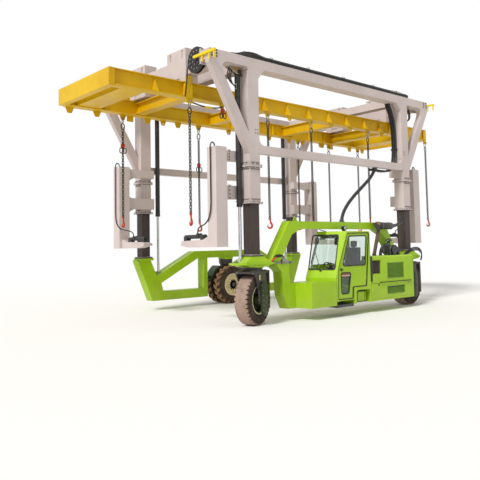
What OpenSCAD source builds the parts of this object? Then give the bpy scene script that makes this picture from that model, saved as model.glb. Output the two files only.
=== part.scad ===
// Straddle carrier with a fixed-length chain spreader.
// X forwards, Y left, Z up, millimetres; the origin lies on the ground at the outline's middle.

/* [Layout] */
// Distance between the front and rear masts
wheelbase = 6060; // [6040:10:6200]
// Distance between the left and right mast planes
track = 4560; // [4500:10:4700]
// Height of the left masts' feet
deck_z = 1540; // [1530:1:1550]
// Height of the right masts' feet
right_foot_z = 1475; // [1465:1:1485]

/* [Lift frame] */
// Side of the square sleeves
sleeve_w = 320; // [312:1:322]
// Side of the square masts
mast_w = 260; // [250:1:264]
// Top of the long top beams
frame_top = 6100; // [6080:5:6200]
// Height of the long top beams
top_beam_h = 226; // [200:2:240]
// Underside of the long lower beams
low_beam_z = 3894; // [3880:2:3910]
// Height of the long lower beams
low_beam_h = 193; // [180:1:200]
// Overhang of the top beams past the masts
overhang = 1270; // [1240:5:1300]
// Width of the slanted braces
brace_w = 235; // [220:1:245]
// Barrel diameter of the lift cylinders
barrel_d = 130; // [120:1:134]
// Rod diameter of the lift cylinders
rod_d = 75; // [66:1:78]

/* [Spreader] */
// Length over the end beams
spreader_len = 12192; // [12100:2:12300]
// Width over the end beams
spreader_w = 2438; // [2420:1:2460]
// Underside of the long beams
spreader_z = 5239; // [5230:1:5245]
// Height of the long beams
spreader_h = 388; // [370:1:392]

/* [Wheels] */
// Diameter of the left tyres
tyre_d = 1140; // [1120:2:1160]
// Width of the left tyres
tyre_w = 370; // [350:2:380]
// Diameter of the right twin tyres
twin_d = 1170; // [1150:2:1180]
// Width of each right twin tyre
twin_w = 300; // [280:2:306]
// Angle at which the front left wheel is parked
park_steer = 18.5; // [0:0.5:25]

/* [Cab and engine] */
// Distance from the left mast plane to the cab's outer face
cab_out = 600; // [590:1:610]
// Top of the cab
cab_top = 2080; // [2060:1:2090]
// Wall of the cab and the engine housing
wall = 36; // [30:1:40]
// Top of the engine housing
hood_z = 1455; // [1440:1:1480]

/* [Hidden] */
$fn = 48;

seat = 0.3;                       // gap of pieces that slide or turn in each other
arch_z = 2355;                    // top of the arch over the cab
eye_up = 60;                      // lifting eye above the arch
eye_r = 22;
foot_half = 215;                  // half the bolted foot of a left mast
col_x = wheelbase / 2;            // masts at plus and minus col_x
twin_half = twin_w + 60;          // half the width over the twin tyres
y_left = (track + twin_half - cab_out) / 2;
y_right = y_left - track;
lime = [0.50, 0.73, 0.16];
dark_green = [0.16, 0.42, 0.15];
cream = [0.93, 0.91, 0.84];
yellow = [0.93, 0.74, 0.04];
steel = [0.30, 0.28, 0.27];
black = [0.07, 0.07, 0.07];
grey = [0.45, 0.45, 0.46];
orange = [0.85, 0.24, 0.08];
glass = [0.55, 0.68, 0.70];

low_z = 290;                      // underside of the left chassis beam
low_top = 880;                    // top of the left chassis beam
box_in = 150;                     // inner face of what hangs outboard of the left beam
door_in = 15;                     // the door's outer face lies this far inside the cab's
half_s = sleeve_w / 2;
beam_z = frame_top - top_beam_h;  // underside of the top beams
tip_x = col_x + overhang;
leg_d = 820;                      // legs ahead of the masts
leg_w = 314;
leg_v = -200;                     // legs inboard of the mast planes
rod_out = 270;                    // left lift cylinders outboard of the masts
rod_in = 430;                     // right lift cylinders inboard of the masts
rod_v = barrel_d / 2 + 5 - half_s;
sleeve_foot_z = 2740;
mast_top_z = 4740;                 // the masts end inside the sleeves
leg_foot_z = 1770;
leg_top_z = 4000;
barrel_foot_z = 2665;
travel = 1100;                    // of the lift frame, up and down
rod_top_z = beam_z - travel - 274; // the rods end inside the barrels with the frame down
sp_y = -65;                       // the spreader's middle line
web_y = spreader_w / 2 - 70;      // middle of the long beams' webs
sp_top = spreader_z + spreader_h;
tip_beam = [tip_x - 490, tip_x - 240]; // the two tip beams in x
tip_beam_z = [beam_z - 74, frame_top + 100];
trolley_top_z = tip_beam_z[1] + 230;
side_shift = 150;                 // of the spreader, left and right
hanger = [tip_beam[0] + 160, tip_beam[1] + 100]; // plates between the spreader and the trolleys

// A box from its low to its high corner, given per axis
module bx(x, y, z) translate([x[0], y[0], z[0]]) cube([x[1] - x[0], y[1] - y[0], z[1] - z[0]]);
// A profile in X and Z, drawn out along Y
module xz(y, pts) translate([0, y[1], 0]) rotate([90, 0, 0])
  linear_extrude(height = y[1] - y[0]) polygon(pts);
// A profile in Y and Z, drawn out along X
module yz(x, pts) translate([x[0], 0, 0]) rotate([90, 0, 90])
  linear_extrude(height = x[1] - x[0]) polygon(pts);
// A profile in X and Y, drawn up along Z
module xy(z, pts) translate([0, 0, z[0]]) linear_extrude(height = z[1] - z[0]) polygon(pts);
// A cylinder along Y
module ycyl(x, y, z, r) translate([x, y[1], z]) rotate([90, 0, 0]) cylinder(h = y[1] - y[0], r = r);
// Both ends of the machine, mirrored about its middle
module ends() for (m = [0, 1]) mirror([m, 0, 0]) children();
// The left side, with Y counted outboard from the left mast plane
module left() translate([0, y_left, 0]) children();
// The right side, with Y counted outboard from the right mast plane
module right() translate([0, y_right, 0]) mirror([0, 1, 0]) children();
module sides() { left() children(); right() children(); }
// x of a point that lies d behind the front masts
function bk(d) = col_x - d;
// Points [d behind the front masts, z] as [x, z]
function side_pts(p) = [for (q = p) [bk(q[0]), q[1]]];
// A block between two level rectangles, each given as [z, half its length, half its width]
module frustum(a, b) intersection() {
  w = max(a[2], b[2]);
  l = max(a[1], b[1]);
  xz([-w, w], [[-a[1], a[0]], [a[1], a[0]], [b[1], b[0]], [-b[1], b[0]]]);
  yz([-l, l], [[-a[2], a[0]], [a[2], a[0]], [b[2], b[0]], [-b[2], b[0]]]);
}
// A polygon whose corners are arcs of radius r
function rounded(p, r, steps = 4) = [for (i = [0 : len(p) - 1])
  let (b = p[i], u = unit(p[(i + len(p) - 1) % len(p)] - b), v = unit(p[(i + 1) % len(p)] - b),
    half = acos(u * v) / 2, o = b + unit(u + v) * r / sin(half))
  for (k = [0 : steps]) o + r * unit(lerp(b + u * r / tan(half), b + v * r / tan(half), k / steps) - o)];
// Fills the corner c between the directions a and b up to an arc of radius r, drawn out along Y
module fillet(y, c, a, b, r) {
  half = acos(a * b) / 2;
  o = c + unit(a + b) * r / sin(half);
  translate([0, y[1], 0]) rotate([90, 0, 0]) linear_extrude(height = y[1] - y[0]) difference() {
    polygon([c, c + a * r / tan(half), o, c + b * r / tan(half)]);
    translate(o) circle(r);
  }
}

// Left chassis: the low beam and its two end posts
module chassis_left() color(lime) left() {
  post_top = [bk(1000), deck_z - 180];
  post_foot = [bk(1090), low_top];
  union() {
    bx([-bk(1150), bk(1150)], [-150, 150], [low_z, low_top]);
    ends() xz([-150, 150], concat(side_pts([[600, deck_z - 180], [800, 1150], [840, 600],
      [1000, low_z], [1250, low_z], [1250, low_top]]), [post_foot, post_top]));
    ends() fillet([-150, 150], post_top + [2, 0], [-1, 0], unit(post_foot - post_top), 165);
  }
}

// Mast decks: plate, pedestal under the mast's foot and slewing flange below
module decks_left() color(lime) left() ends() difference() {
  union() {
    xy([deck_z - 180, deck_z - 140], [[bk(450), -260], [bk(-400), -260], [bk(-560), -160],
      [bk(-560), 160], [bk(-400), 260], [bk(450), 260]]);
    bx([bk(1210), bk(440)], [-150, 150], [deck_z - 180, deck_z - 140]);
    translate([col_x, 0, 0]) {
      frustum([deck_z - 141, 420, 240], [deck_z - 30, foot_half, foot_half - 10]);
      bx([-foot_half, foot_half], [10 - foot_half, foot_half - 10], [deck_z - 31, deck_z]);
      frustum([deck_z - 235, 250, 235], [deck_z - 179, 400, 250]);
      translate([0, 0, deck_z - 240]) cylinder(h = 30, r = 270);
    }
  }
  bx([col_x + rod_out - 58, col_x + 430], [rod_v - 60, rod_v + 60], [deck_z - 140, deck_z + 1]);
}

// Arch over the cab, with the eye by which this side is lifted
module arch_left() color(lime) left() {
  z = deck_z - 140;
  far = wheelbase;
  difference() {
    union() {
      xz([-120, 120], side_pts([[480, z], [1120, arch_z], [far - 1120, arch_z], [far - 480, z],
        [far - 780, z], [far - 1200, arch_z - 325], [far - 1500, arch_z - 185],
        [1500, arch_z - 185], [1200, arch_z - 325], [780, z]]));
      xz([-12, 12], side_pts([[1360, arch_z - 1], [1520, arch_z - 1], [1490, arch_z + 60],
        [1390, arch_z + 60]]));
      ycyl(bk(1440), [-12, 12], arch_z + eye_up, 50);
    }
    ycyl(bk(1440), [-13, 13], arch_z + eye_up, eye_r);
  }
}

// Right chassis: V arms, sloping tubes, the tube over the twin wheel, bottom chords and posts
module chassis_right() color(lime) right() {
  mid = wheelbase / 2;
  union() {
    ends() difference() {
      xz([-150, 150], side_pts([[-280, right_foot_z - 60], [146, right_foot_z - 60],
        [343, 968], [1700, 1646], [mid, 1646], [mid, 1435], [2180, 1435], [2180, 268],
        [200, 268]]));
      xz([-151, 151], side_pts([[560, 524], [2040, 524], [2040, 1435], [1820, 1435],
        [500, 760]]));
    }
    translate([0, 0, 1375]) cylinder(h = 60, r = 230);
    ends() translate([col_x, 0, right_foot_z - 30]) translate([-210, -200, -30])
      cube([420, 400, 60]);
  }
}

// Quarter-round guards before and behind the twin wheel
module mudguards_right() color(dark_green) right() ends() difference() {
  union() {
    intersection() {
      ycyl(0, [-150, 150], twin_d / 2, 730);
      xz([-150, 150], [[400, 700], [bk(2180), 800], [bk(2180), 1300], [420, 1300]]);
    }
    bx([600, bk(2180)], [-60, 60], [820, 880]);
  }
  ycyl(0, [-151, 151], twin_d / 2, 715);
}

module masts() color(steel) {
  left() ends() translate([col_x, 0, 0]) mast(deck_z);
  right() ends() translate([col_x, 0, 0]) mast(right_foot_z);
}
module mast(z) union() {
  bx([-mast_w / 2, mast_w / 2], [-mast_w / 2, mast_w / 2], [z, mast_top_z]);
  bx([-190, 190], [-190, 190], [z, z + 24]);
}

module lift_rods() color(grey) {
  left() ends() translate([col_x + rod_out, rod_v, 0]) union() {
    bx([-55, 55], [-45, 45], [deck_z - 140, deck_z - 60]);
    translate([0, 0, deck_z - 60]) cylinder(h = rod_top_z - deck_z + 60, d = rod_d);
  }
  right() ends() translate([col_x - rod_in, rod_v, 0]) union() {
    xz([-45, 45], [[-60, 1041.5], [87, 968], [87, 1100], [-60, 1100]]);
    translate([0, 0, 1100]) cylinder(h = rod_top_z - 1100, d = rod_d);
  }
}

front_foot = [2200, 1940];         // foot of the cab's front wall at its outer and inner end
front_turn = atan((front_foot[0] - front_foot[1]) / (cab_out + box_in));
front_kink = 960;                  // upright up to here, leaning back above
front_lean = 0.385;
// The frame of the front wall: X out of it, Y along it from its outer end
module at_front() translate([bk(front_foot[0]), cab_out, 0]) rotate([0, 0, front_turn]) children();
// What lies ahead of the front wall's face moved in by t
module ahead(t) at_front() xz([-2000, 2000], [[-t, 0], [-t, front_kink],
  [-t - front_lean * 2000, front_kink + 2000], [3000, front_kink + 2000], [3000, 0]]);
// The windscreen's outline, drawn out between two depths under the front wall's face
module windscreen(t) at_front() intersection() {
  xz([-900, 100], [[-t[0], front_kink], [-t[1], front_kink],
    [-t[1] - front_lean * 2000, front_kink + 2000], [-t[0] - front_lean * 2000, front_kink + 2000]]);
  yz([-1200, 200], rounded([[-744, 1160], [-744, cab_top - 70], [-50, cab_top - 70], [-50, 1160]], 45));
}
door_pts = [[2713, cab_top - 42], [3548, cab_top - 30], [3400, 720], [2860, 720], [2840, 440],
  [2284, 440], [2330, 1210]];
door_hole = [[2705, cab_top - 34], [3557, cab_top - 21], [3407, 712], [2868, 712], [2848, 432],
  [2276, 432], [2322, 1212]];
hinge_foot = [bk(3400), 720];      // foot of the door's rear edge, along which its hinges lie
hinge_dir = unit([bk(3548), cab_top - 30] - hinge_foot);
hinge_back = 20;                   // hinge line behind the door's edge
hinge_v = cab_out - 10;
hinge_r = 5;
// The two hinges: Z along the hinge line, X forwards to the door's edge
module hinges() for (t = [200, 1120])
  translate([hinge_foot[0] + hinge_dir[0] * t - hinge_dir[1] * hinge_back, hinge_v,
    hinge_foot[1] + hinge_dir[1] * t + hinge_dir[0] * hinge_back])
    rotate([0, atan2(hinge_dir[0], hinge_dir[1]), 0]) children();

module cab_shell() color(lime) left() {
  union() {
    cab_walls();
    hinges() translate([0, 0, -45]) cylinder(h = 90, r = hinge_r);
  }
}
module cab_walls() difference() {
  union() {
    difference() {
      union() {
        bx([bk(3600), bk(1900)], [-box_in, cab_out], [low_top, cab_top]);
        yz([bk(3600), bk(1900)], [[-box_in, cab_top - 20], [cab_out, cab_top - 20],
          [cab_out, cab_top + 6], [cab_out - 45, cab_top + 26], [-box_in, cab_top + 26]]);
      }
      ahead(0);
    }
    xz([box_in, cab_out], side_pts([[2230, 390], [2880, 390], [2880, 690], [3600, 690],
      [3600, low_top], [2230, low_top]]));
  }
  difference() {
    bx([bk(3600 - wall), bk(1900)], [wall - box_in, cab_out - wall], [low_top + wall, cab_top - wall]);
    ahead(wall + 6);
  }
  xz([box_in + wall, cab_out - wall], side_pts([[2266, 426], [2844, 426], [2844, 726],
    [3564, 726], [3564, low_top + wall], [2266, low_top + wall]]));
  xz([cab_out - 2 * wall, cab_out + 1], rounded(side_pts(door_hole), 38));
  xz([-151, -150 + 2 * wall], rounded(side_pts(inner_window), 50));
  windscreen([-20, wall + 30]);
  yz([bk(3601), bk(3500)], rounded(rear_window, 45));
  hinges() bx([-14, hinge_back - 6], [-14, 20], [-32, 32]);
}
// Windows: in the long sides as [d, z], in the rear wall as [v, z]
inner_window = [[2130, 1260], [2430, 1990], [3480, 1990], [3480, 1260]];
rear_window = [[-80, 1300], [cab_out - 90, 1300], [cab_out - 90, 1990], [-80, 1990]];
door_window = [[2480, 1240], [2760, cab_top - 105], [3475, cab_top - 95], [3395, 1240]];
door_pane = [[2420, 560], [2420, 1070], [2800, 1070], [2700, 560]];

module cab_glass() color(glass) left() {
  xz([-136, -128], rounded(side_pts(inner_window), 50));
  yz([bk(3590), bk(3582)], rounded(rear_window, 45));
  windscreen([8, 16]);
}

// Seat with its pedestal, arm pods and head rest; console with the steering wheel
seat_v = 225;                     // middle of the seat, outboard of the mast plane
module cab_inside() color(black) left() {
  seat_floor = low_top + wall;
  translate([0, seat_v, 0]) union() {
    translate([bk(3050), 0, seat_floor]) cylinder(h = 160, r = 90);
    translate([bk(3050), 0, 0]) frustum([seat_floor + 140, 190, 180], [1152, 230, 210]);
    xz([-220, 220], rounded(side_pts([[2790, 1150], [2790, 1235], [3350, 1215], [3350, 1150]]), 25));
    xz([-200, 200], rounded(side_pts([[3325, 1190], [3350, 1690], [3425, 1690], [3405, 1190]]), 30));
    xz([-80, 80], rounded(side_pts([[3360, 1700], [3375, 1860], [3445, 1860], [3430, 1700]]), 25));
    bx([bk(3405), bk(3390)], [-40, 40], [1680, 1710]);
    for (v = [-266, 218]) xz([v, v + 48], rounded(side_pts([[2850, 1165], [2850, 1250], [3200, 1250],
      [3200, 1165]]), 20));
  }
  translate([0, seat_v, 0]) difference() {
    union() {
      xz([-265, 245], side_pts([[2330, seat_floor], [2290, 1100], [2320, 1150], [2420, 1130],
        [2550, 1000], [2550, seat_floor]]));
      translate([bk(2391), 0, 1093]) rotate([0, -35, 0]) {
        cylinder(h = 156, r = 22);
        translate([0, 0, 155]) steering_wheel();
      }
    }
    bx([bk(2551), bk(2400)], [-90, 90], [seat_floor - 1, 960]);
  }
}
module steering_wheel() {
  rotate_extrude($fn = 60) translate([185, 0]) circle(14, $fn = 20);
  cylinder(h = 14, r = 45);
  for (t = [0, 120, 240]) rotate([0, 0, t]) bx([30, 180], [-16, 16], [0, 10]);
}

// Boxes hung outboard of the low beam; the rear one has an arched recess with an inner panel
module storage_box() color(lime) left() {
  xy([low_z, low_top], [[bk(2220), box_in], [bk(1250), box_in], [bk(1250), 240],
    [bk(1330), cab_out], [bk(2220), cab_out]]);
  union() {
    difference() {
      bx([bk(3600), bk(2890)], [box_in, cab_out], [low_z, 690]);
      xz([cab_out - 160, cab_out + 1], rounded(side_pts([[2990, 150], [2990, 620], [3560, 620],
        [3560, 150]]), 75));
    }
    difference() {
      xz([cab_out - 161, cab_out - 70], rounded(side_pts([[3120, 330], [3120, 560], [3440, 560],
        [3440, 330]]), 40));
      xz([cab_out - 90, cab_out - 69], rounded(side_pts([[3140, 350], [3140, 540], [3420, 540],
        [3420, 350]]), 25));
    }
  }
}

// Tread of the step: a tray with slots across it, on two hangers
module step() color(grey) left() difference() {
  union() {
    bx([bk(2870), bk(2240)], [200, cab_out - 6], [235, 300]);
    for (d = [2870, 2280]) bx([bk(d), bk(d - 40)], [200, 260], [299, 390]);
  }
  bx([bk(2860), bk(2250)], [210, cab_out - 16], [234, 290]);
  for (d = [2270 : 60 : 2810]) bx([bk(d + 34), bk(d)], [300, cab_out - 60], [280, 301]);
}

eng_front = bk(3620);
eng_rear = -col_x + 480;
// Engine housing: hood, two grille openings, an open cooler bay in front and its frame
module engine_housing() color(lime) left() difference() {
  union() {
    xy([low_z, hood_z - 40], housing_plan());
    intersection() {
      xy([hood_z - 41, hood_z], housing_plan());
      yz([eng_rear, eng_front], [[box_in, hood_z - 41], [cab_out, hood_z - 41],
        [cab_out - 40, hood_z], [box_in, hood_z]]);
    }
  }
  bx([eng_rear + 160 + wall, eng_front - 430 - wall], [box_in + wall, cab_out - wall],
    [low_z + wall, hood_z - wall]);
  bx([eng_front - 431 - wall, eng_front - wall], [box_in + wall, cab_out - wall],
    [low_z + wall, 990 - wall]);
  bx([eng_front - 430, eng_front + 1], [box_in - 1, cab_out + 1], [990, 1340]);
  bx([eng_front - 431, eng_front + 1], [box_in - 1, cab_out - 300], [990, hood_z + 1]);
  bx([eng_rear + 480, eng_rear + 1260], [cab_out - wall - 1, cab_out + 1], [832, 1267]);
  bx([eng_rear + 460, eng_rear + 1280], [cab_out - wall - 1, cab_out + 1], [422, 652]);
  xz([cab_out - 14, cab_out + 1], [[eng_rear + 330, 742], [eng_front - 10, 730],
    [eng_front - 10, 748], [eng_rear + 330, 760]]);
  bx([eng_rear + 60, eng_front - 40], [cab_out - 6, cab_out + 1], [345, 353]);
}
function housing_plan() = [[eng_front, box_in], [eng_front, cab_out - 30], [eng_front - 30, cab_out],
  [eng_rear + 30, cab_out], [eng_rear, cab_out - 30], [eng_rear, 400], [eng_rear + 160, 400],
  [eng_rear + 160, box_in]];

module engine_block() color(grey) left() bx([eng_rear + 420, eng_front - 560], [220, 520],
  [low_z + wall, 1200]);

// Louvred grilles: a frame with slats that slope down and outwards
module grilles() color(dark_green) left() {
  for (g = [[480, 1260, 832, 1267], [460, 1280, 422, 652]])
    let (x = [eng_rear + g[0], eng_rear + g[1]], z = [g[2], g[3]]) union() {
      difference() {
        bx(x, [cab_out - 34, cab_out - 8], z);
        bx([x[0] + 25, x[1] - 25], [cab_out - 35, cab_out - 7], [z[0] + 25, z[1] - 25]);
      }
      for (s = [z[0] + 27 : 32 : z[1] - 50]) yz([x[0] + 24, x[1] - 24], [[cab_out - 12, s],
        [cab_out - 8, s + 4], [cab_out - 30, s + 26], [cab_out - 34, s + 22]]);
      bx([(x[0] + x[1]) / 2 - 8, (x[0] + x[1]) / 2 + 8], [cab_out - 34, cab_out - 26],
        [z[0] + 24, z[1] - 24]);
    }
}

// Cooler: side tanks, a slatted core and its cap
module cooler() color(steel) left() difference() {
  union() {
    bx([eng_front - 400, eng_front - 20], [box_in + wall, cab_out - 50], [990, 1310]);
    translate([eng_front - 120, 230, 1309]) cylinder(h = 30, r = 40);
  }
  for (z = [1030 : 30 : 1270]) bx([eng_front - 350, eng_front - 70], [cab_out - 66, cab_out - 49],
    [z, z + 16]);
}

// Muffler beside the arch, with its tail pipe and the riser that slopes up from the hood
module muffler() color(black) left() difference() {
  union() {
    for (c = [[1760, 71, 45], [1690, 1200, 80], [491, 90, 42]])
      translate([c[0] - col_x, 205, arch_z - 100]) rotate([0, -90, 0]) cylinder(h = c[1], r = c[2]);
    for (x = [1530, 700]) bx([x - col_x, x - col_x + 50], [120, 205], [arch_z - 140, arch_z - 60]);
    translate([1500 - col_x, 205, arch_z - 110]) rotate([0, 161, 0]) cylinder(h = 900, r = 40);
    translate([1772 - col_x, 205, hood_z]) cylinder(h = 20, r = 75);
  }
  bx([-col_x, 0], [0, 300], [hood_z - 300, hood_z]);
  translate([400 - col_x, 205, arch_z - 100]) rotate([0, 90, 0]) cylinder(h = 60, r = 34);
}

// Air cleaner across the hood, with its rain cap and a ribbed duct that turns down behind it
module air_cleaner() color(black) left() translate([eng_rear + 760, 0, hood_z]) union() {
  ycyl(0, [180, 520], 150, 120);
  for (v = [180, 490]) ycyl(0, [v, v + 25], 150, 132);
  bx([-60, 60], [200, 500], [0, 60]);
  translate([10, 330, 260]) cylinder(h = 131, r = 45);
  translate([10, 330, 390]) rotate_extrude() polygon([[0, 0], [110, 0], [98, 32], [0, 70]]);
  for (k = [0 : 5]) translate([-95 - 40 * k, 330, 150]) rotate([0, -90, 0])
    cylinder(h = 41, r = k % 2 == 0 ? 100 : 88);
  bx([-400, -330], [260, 400], [0, 210]);
}

// Lamp on the cab's roof over the door
module work_lamp() color(black) left() union() {
  bx([70, 130], [270, 330], [cab_top + 26, cab_top + 60]);
  ycyl(100, [255, 345], cab_top + 105, 55);
  ycyl(100, [344, 356], cab_top + 105, 62);
}

// Corrugated hose that hangs between the arch and the left lower beam
umb_pts = [[-120, 2220, 2355], [-120, 2222, 2640], [-420, 2226, 2980], [-980, 2232, 3300],
  [-1500, 2238, 3560], [-1620, 2240, low_beam_z]];
module umbilical() color(black) translate([0, y_left - 2160, 0]) tube(curve(umb_pts, 24), 45,
  10, [[0, 0, 1], [0, 0, 1]]);
function lerp(a, b, t) = a + (b - a) * t;
function bez(p, t) = len(p) == 1 ? p[0]
  : bez([for (i = [0 : len(p) - 2]) lerp(p[i], p[i + 1], t)], t);
function unit(v) = v / norm(v);
function curve(p, steps) = [for (i = [0 : steps]) bez(p, i / steps)];
// A round tube of constant width through the points c, with the directions of its two end faces
module tube(c, r, sides, out) {
  n = len(c) - 1;
  d = [for (i = [0 : n]) i == 0 ? out[0] : i == n ? out[1] : unit(c[i + 1] - c[i - 1])];
  side = [for (i = [0 : n]) unit(cross([0, 1, 0], d[i]))];
  up = [for (i = [0 : n]) cross(d[i], side[i])];
  pts = [for (i = [0 : n]) for (k = [0 : sides - 1])
    c[i] + r * (cos(360 * k / sides) * side[i] + sin(360 * k / sides) * up[i])];
  faces = concat([[for (k = [0 : sides - 1]) k]], [[for (k = [sides - 1 : -1 : 0]) n * sides + k]],
    [for (i = [0 : n - 1]) for (k = [0 : sides - 1])
      [i * sides + k, (i + 1) * sides + k, (i + 1) * sides + (k + 1) % sides,
       i * sides + (k + 1) % sides]]);
  polyhedron(points = pts, faces = faces);
}

module cab_door() color(lime) left() difference() {
  union() {
    xz([cab_out - door_in - 30, cab_out - door_in], rounded(side_pts(door_pts), 30));
    xz([cab_out - door_in - 1, cab_out - door_in + 14], rounded(side_pts([[2350, 1130], [2350, 1175],
      [2500, 1175], [2500, 1130]]), 14));
    hinges() {
      translate([0, 0, -26]) cylinder(h = 52, r = hinge_r + 4);
      bx([0, hinge_back + 6], [-10, 0], [-26, 26]);
    }
  }
  hinges() translate([0, 0, -40]) cylinder(h = 80, r = hinge_r + seat);
  xz([cab_out - 100, cab_out + 1], rounded(side_pts(door_window), 55));
  xz([cab_out - 100, cab_out + 1], rounded(side_pts(door_pane), 50));
}

module door_glass() color(glass) left() for (w = [[door_window, 55], [door_pane, 50]])
  xz([cab_out - door_in - 20, cab_out - door_in - 12], rounded(side_pts(w[0]), w[1]));

// Fork of a left wheel about its slewing axis: crown, ring, side legs, rear box and axle
hub_r = 60;
module fork() color(steel) union() {
  top = deck_z - 240 - seat;
  w = tyre_w / 2 + 25;
  axle_z = tyre_d / 2;
  xy([top - 135, top - 90], [[-420, -130], [-280, -w - 50], [300, -w - 50], [430, -130],
    [430, 130], [300, w + 50], [-280, w + 50], [-420, 130]]);
  frustum([top - 91, 330, 220], [top - 60, 240, 220]);
  translate([0, 0, top - 61]) cylinder(h = 61, r = 235);
  bx([-650, -400], [-100, 100], [top - 135, top - 90]);
  xz([-100, 100], [[-650, 350], [-630, 320], [-605, 320], [-585, 350], [-585, top - 91],
    [-650, top - 91]]);
  for (y = [[-w - 50, -w], [w, w + 50]]) {
    xz(y, [[-170, top - 134], [-190, 900], [-150, 790], [-120, axle_z], [120, axle_z],
      [135, 790], [190, 860], [190, top - 134]]);
    ycyl(0, y, axle_z, 120);
    xz([y[0] + 10, y[1] - 10], [[189, top - 134], [189, 900], [330, top - 134]]);
  }
  for (s = [-1, 1]) ycyl(0, s > 0 ? [w + 49, w + 62] : [-w - 62, -w - 49], axle_z, 85);
  ycyl(0, [-w - 50, w + 50], axle_z, hub_r);
}
// A closed ring about the Y axis: at each angle a row of points [r, y, turn added to the angle]
module ring_mesh(angles, rows) {
  n = len(angles);
  m = len(rows[0]);
  points = [for (i = [0 : n - 1]) for (q = rows[i])
    [q[0] * sin(angles[i] + q[2]), q[1], q[0] * cos(angles[i] + q[2])]];
  quads = [for (i = [0 : n - 1]) for (j = [0 : m - 1])
    [i * m + j, i * m + (j + 1) % m, ((i + 1) % n) * m + (j + 1) % m, ((i + 1) % n) * m + j]];
  polyhedron(points = points,
    faces = [for (q = quads) for (t = [[q[0], q[1], q[2]], [q[0], q[2], q[3]]]) t]);
}
// Angles of a tread: each pitch has a land's start and end, then the bottom of its groove
function tread_angles(count, land) = [for (k = [0 : count - 1]) for (t = [0, land, (1 + land) / 2])
  (k + t) * 360 / count];
// Bead radius whose flats stay a seat's gap clear of the round rim
function bead(rim, count, land) = (rim + seat) / cos(180 * land / count);
// Both halves of a tread's section, from one half given as [r, y, turn] from the bead outwards
function both(h) = concat([for (q = h) [q[0], -q[1], q[2]]],
  [for (i = [len(h) - 1 : -1 : 0]) h[i]]);
// Worn tyre: smooth crown, with notches round both shoulders
notches = 20;
notch_land = 0.62;
module notched_tyre(r, w, rim) color(black) ring_mesh(tread_angles(notches, notch_land),
  [for (k = [1 : notches]) for (deep = [0, 0, 1]) both([
    [bead(rim, notches, notch_land), w * 0.42, 0], [r * 0.80, w * 0.5, 0],
    [r * (0.955 - 0.035 * deep), w * 0.485, 0], [r * (0.99 - 0.04 * deep), w * 0.42, 0],
    [r, w * 0.27, 0]])]);
// Lug tyre: two rows of slanted blocks that meet in the middle
lugs = 16;
lug_land = 0.5;
module lug_tyre(r, w, rim) color(black) ring_mesh(tread_angles(lugs, lug_land),
  [for (k = [1 : lugs]) for (deep = [0, 0, 1]) both([
    [bead(rim, lugs, lug_land), w * 0.42, 0], [r * 0.78, w * 0.5, 0],
    [r * (0.93 - 0.03 * deep), w * 0.49, -9], [r * (0.985 - 0.05 * deep), w * 0.43, -8],
    [r * (1 - 0.045 * deep), w * 0.06, 0]])]);
// A wheel disc about its axle, with an open bore
module rim(rim, w, bore) rotate([90, 0, 0]) rotate_extrude($fn = 96)
  polygon([[bore, -w * 0.5], [120, -w * 0.5], [140, -w * 0.1], [rim - 30, -w * 0.1],
    [rim - 30, -w * 0.42], [rim, -w * 0.42], [rim, w * 0.42], [rim - 30, w * 0.42],
    [rim - 30, w * 0.1], [140, w * 0.1], [120, w * 0.5], [bore, w * 0.5]]);
rim_r = 300;
twin_rim_r = 320;

module at_front_left() translate([col_x, y_left, 0]) rotate([0, 0, park_steer]) children();
module at_rear_left() translate([-col_x, y_left, 0]) children();
module fork_front_left() at_front_left() fork();
module tyre_front_left() at_front_left() translate([0, 0, tyre_d / 2])
  notched_tyre(tyre_d / 2, tyre_w, rim_r);
module rim_front_left() color(dark_green) at_front_left() translate([0, 0, tyre_d / 2])
  rim(rim_r, tyre_w, hub_r + seat);
module fork_rear_left() at_rear_left() fork();
module tyre_rear_left() at_rear_left() translate([0, 0, tyre_d / 2])
  notched_tyre(tyre_d / 2, tyre_w, rim_r);
module rim_rear_left() color(dark_green) at_rear_left() translate([0, 0, tyre_d / 2])
  rim(rim_r, tyre_w, hub_r + seat);

module knuckle_right() color(steel) right() union() {
  translate([0, 0, 1230]) cylinder(h = 145 - seat, r = 215);
  xz([-45, 45], [[-200, 1231], [-110, twin_d / 2], [110, twin_d / 2], [200, 1231]]);
  ycyl(0, [-45, 45], twin_d / 2, 140);
  ycyl(0, [-twin_half + 20, twin_half - 20], twin_d / 2, hub_r);
}
module tyres_right() right() for (s = [-1, 1]) translate([0, s * (60 + twin_w / 2), twin_d / 2])
  lug_tyre(twin_d / 2, twin_w, twin_rim_r);
module rims_right() color(cream) right() for (s = [-1, 1])
  translate([0, s * (60 + twin_w / 2), twin_d / 2]) rim(twin_rim_r, twin_w, hub_r + seat);

// Long top beams
clevis_h = 160;
module top_beams() color(cream) {
  sides() bx([-tip_x, tip_x], [-half_s, half_s], [beam_z, frame_top]);
  left() ends() translate([col_x + rod_out, rod_v, beam_z]) clevis(rod_out - half_s);
  right() ends() translate([col_x - rod_in, rod_v, beam_z]) mirror([1, 0, 0]) clevis(rod_in - half_s);
  left() for (x = [[col_x - 170, col_x + 240], [-col_x + 20, -col_x + 530]]) difference() {
    bx(x, [-130, 130], [frame_top, frame_top + 130]);
    bx([x[0] - 1, x[1] + 1], [-105, 105], [frame_top - 1, frame_top + 105]);
  }
}
// Two plates either side of a cylinder's eye; X points away from the column
module clevis(reach) for (v = [-68, 48]) union() {
  xz([v, v + 20], [[-reach, 0], [330, 0], [65, 6 - clevis_h], [-65, 6 - clevis_h], [-reach, -330]]);
  ycyl(0, [v < 0 ? v - 14 : v + 19, v < 0 ? v + 1 : v + 34], -clevis_h + 55, 36);
}

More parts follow.
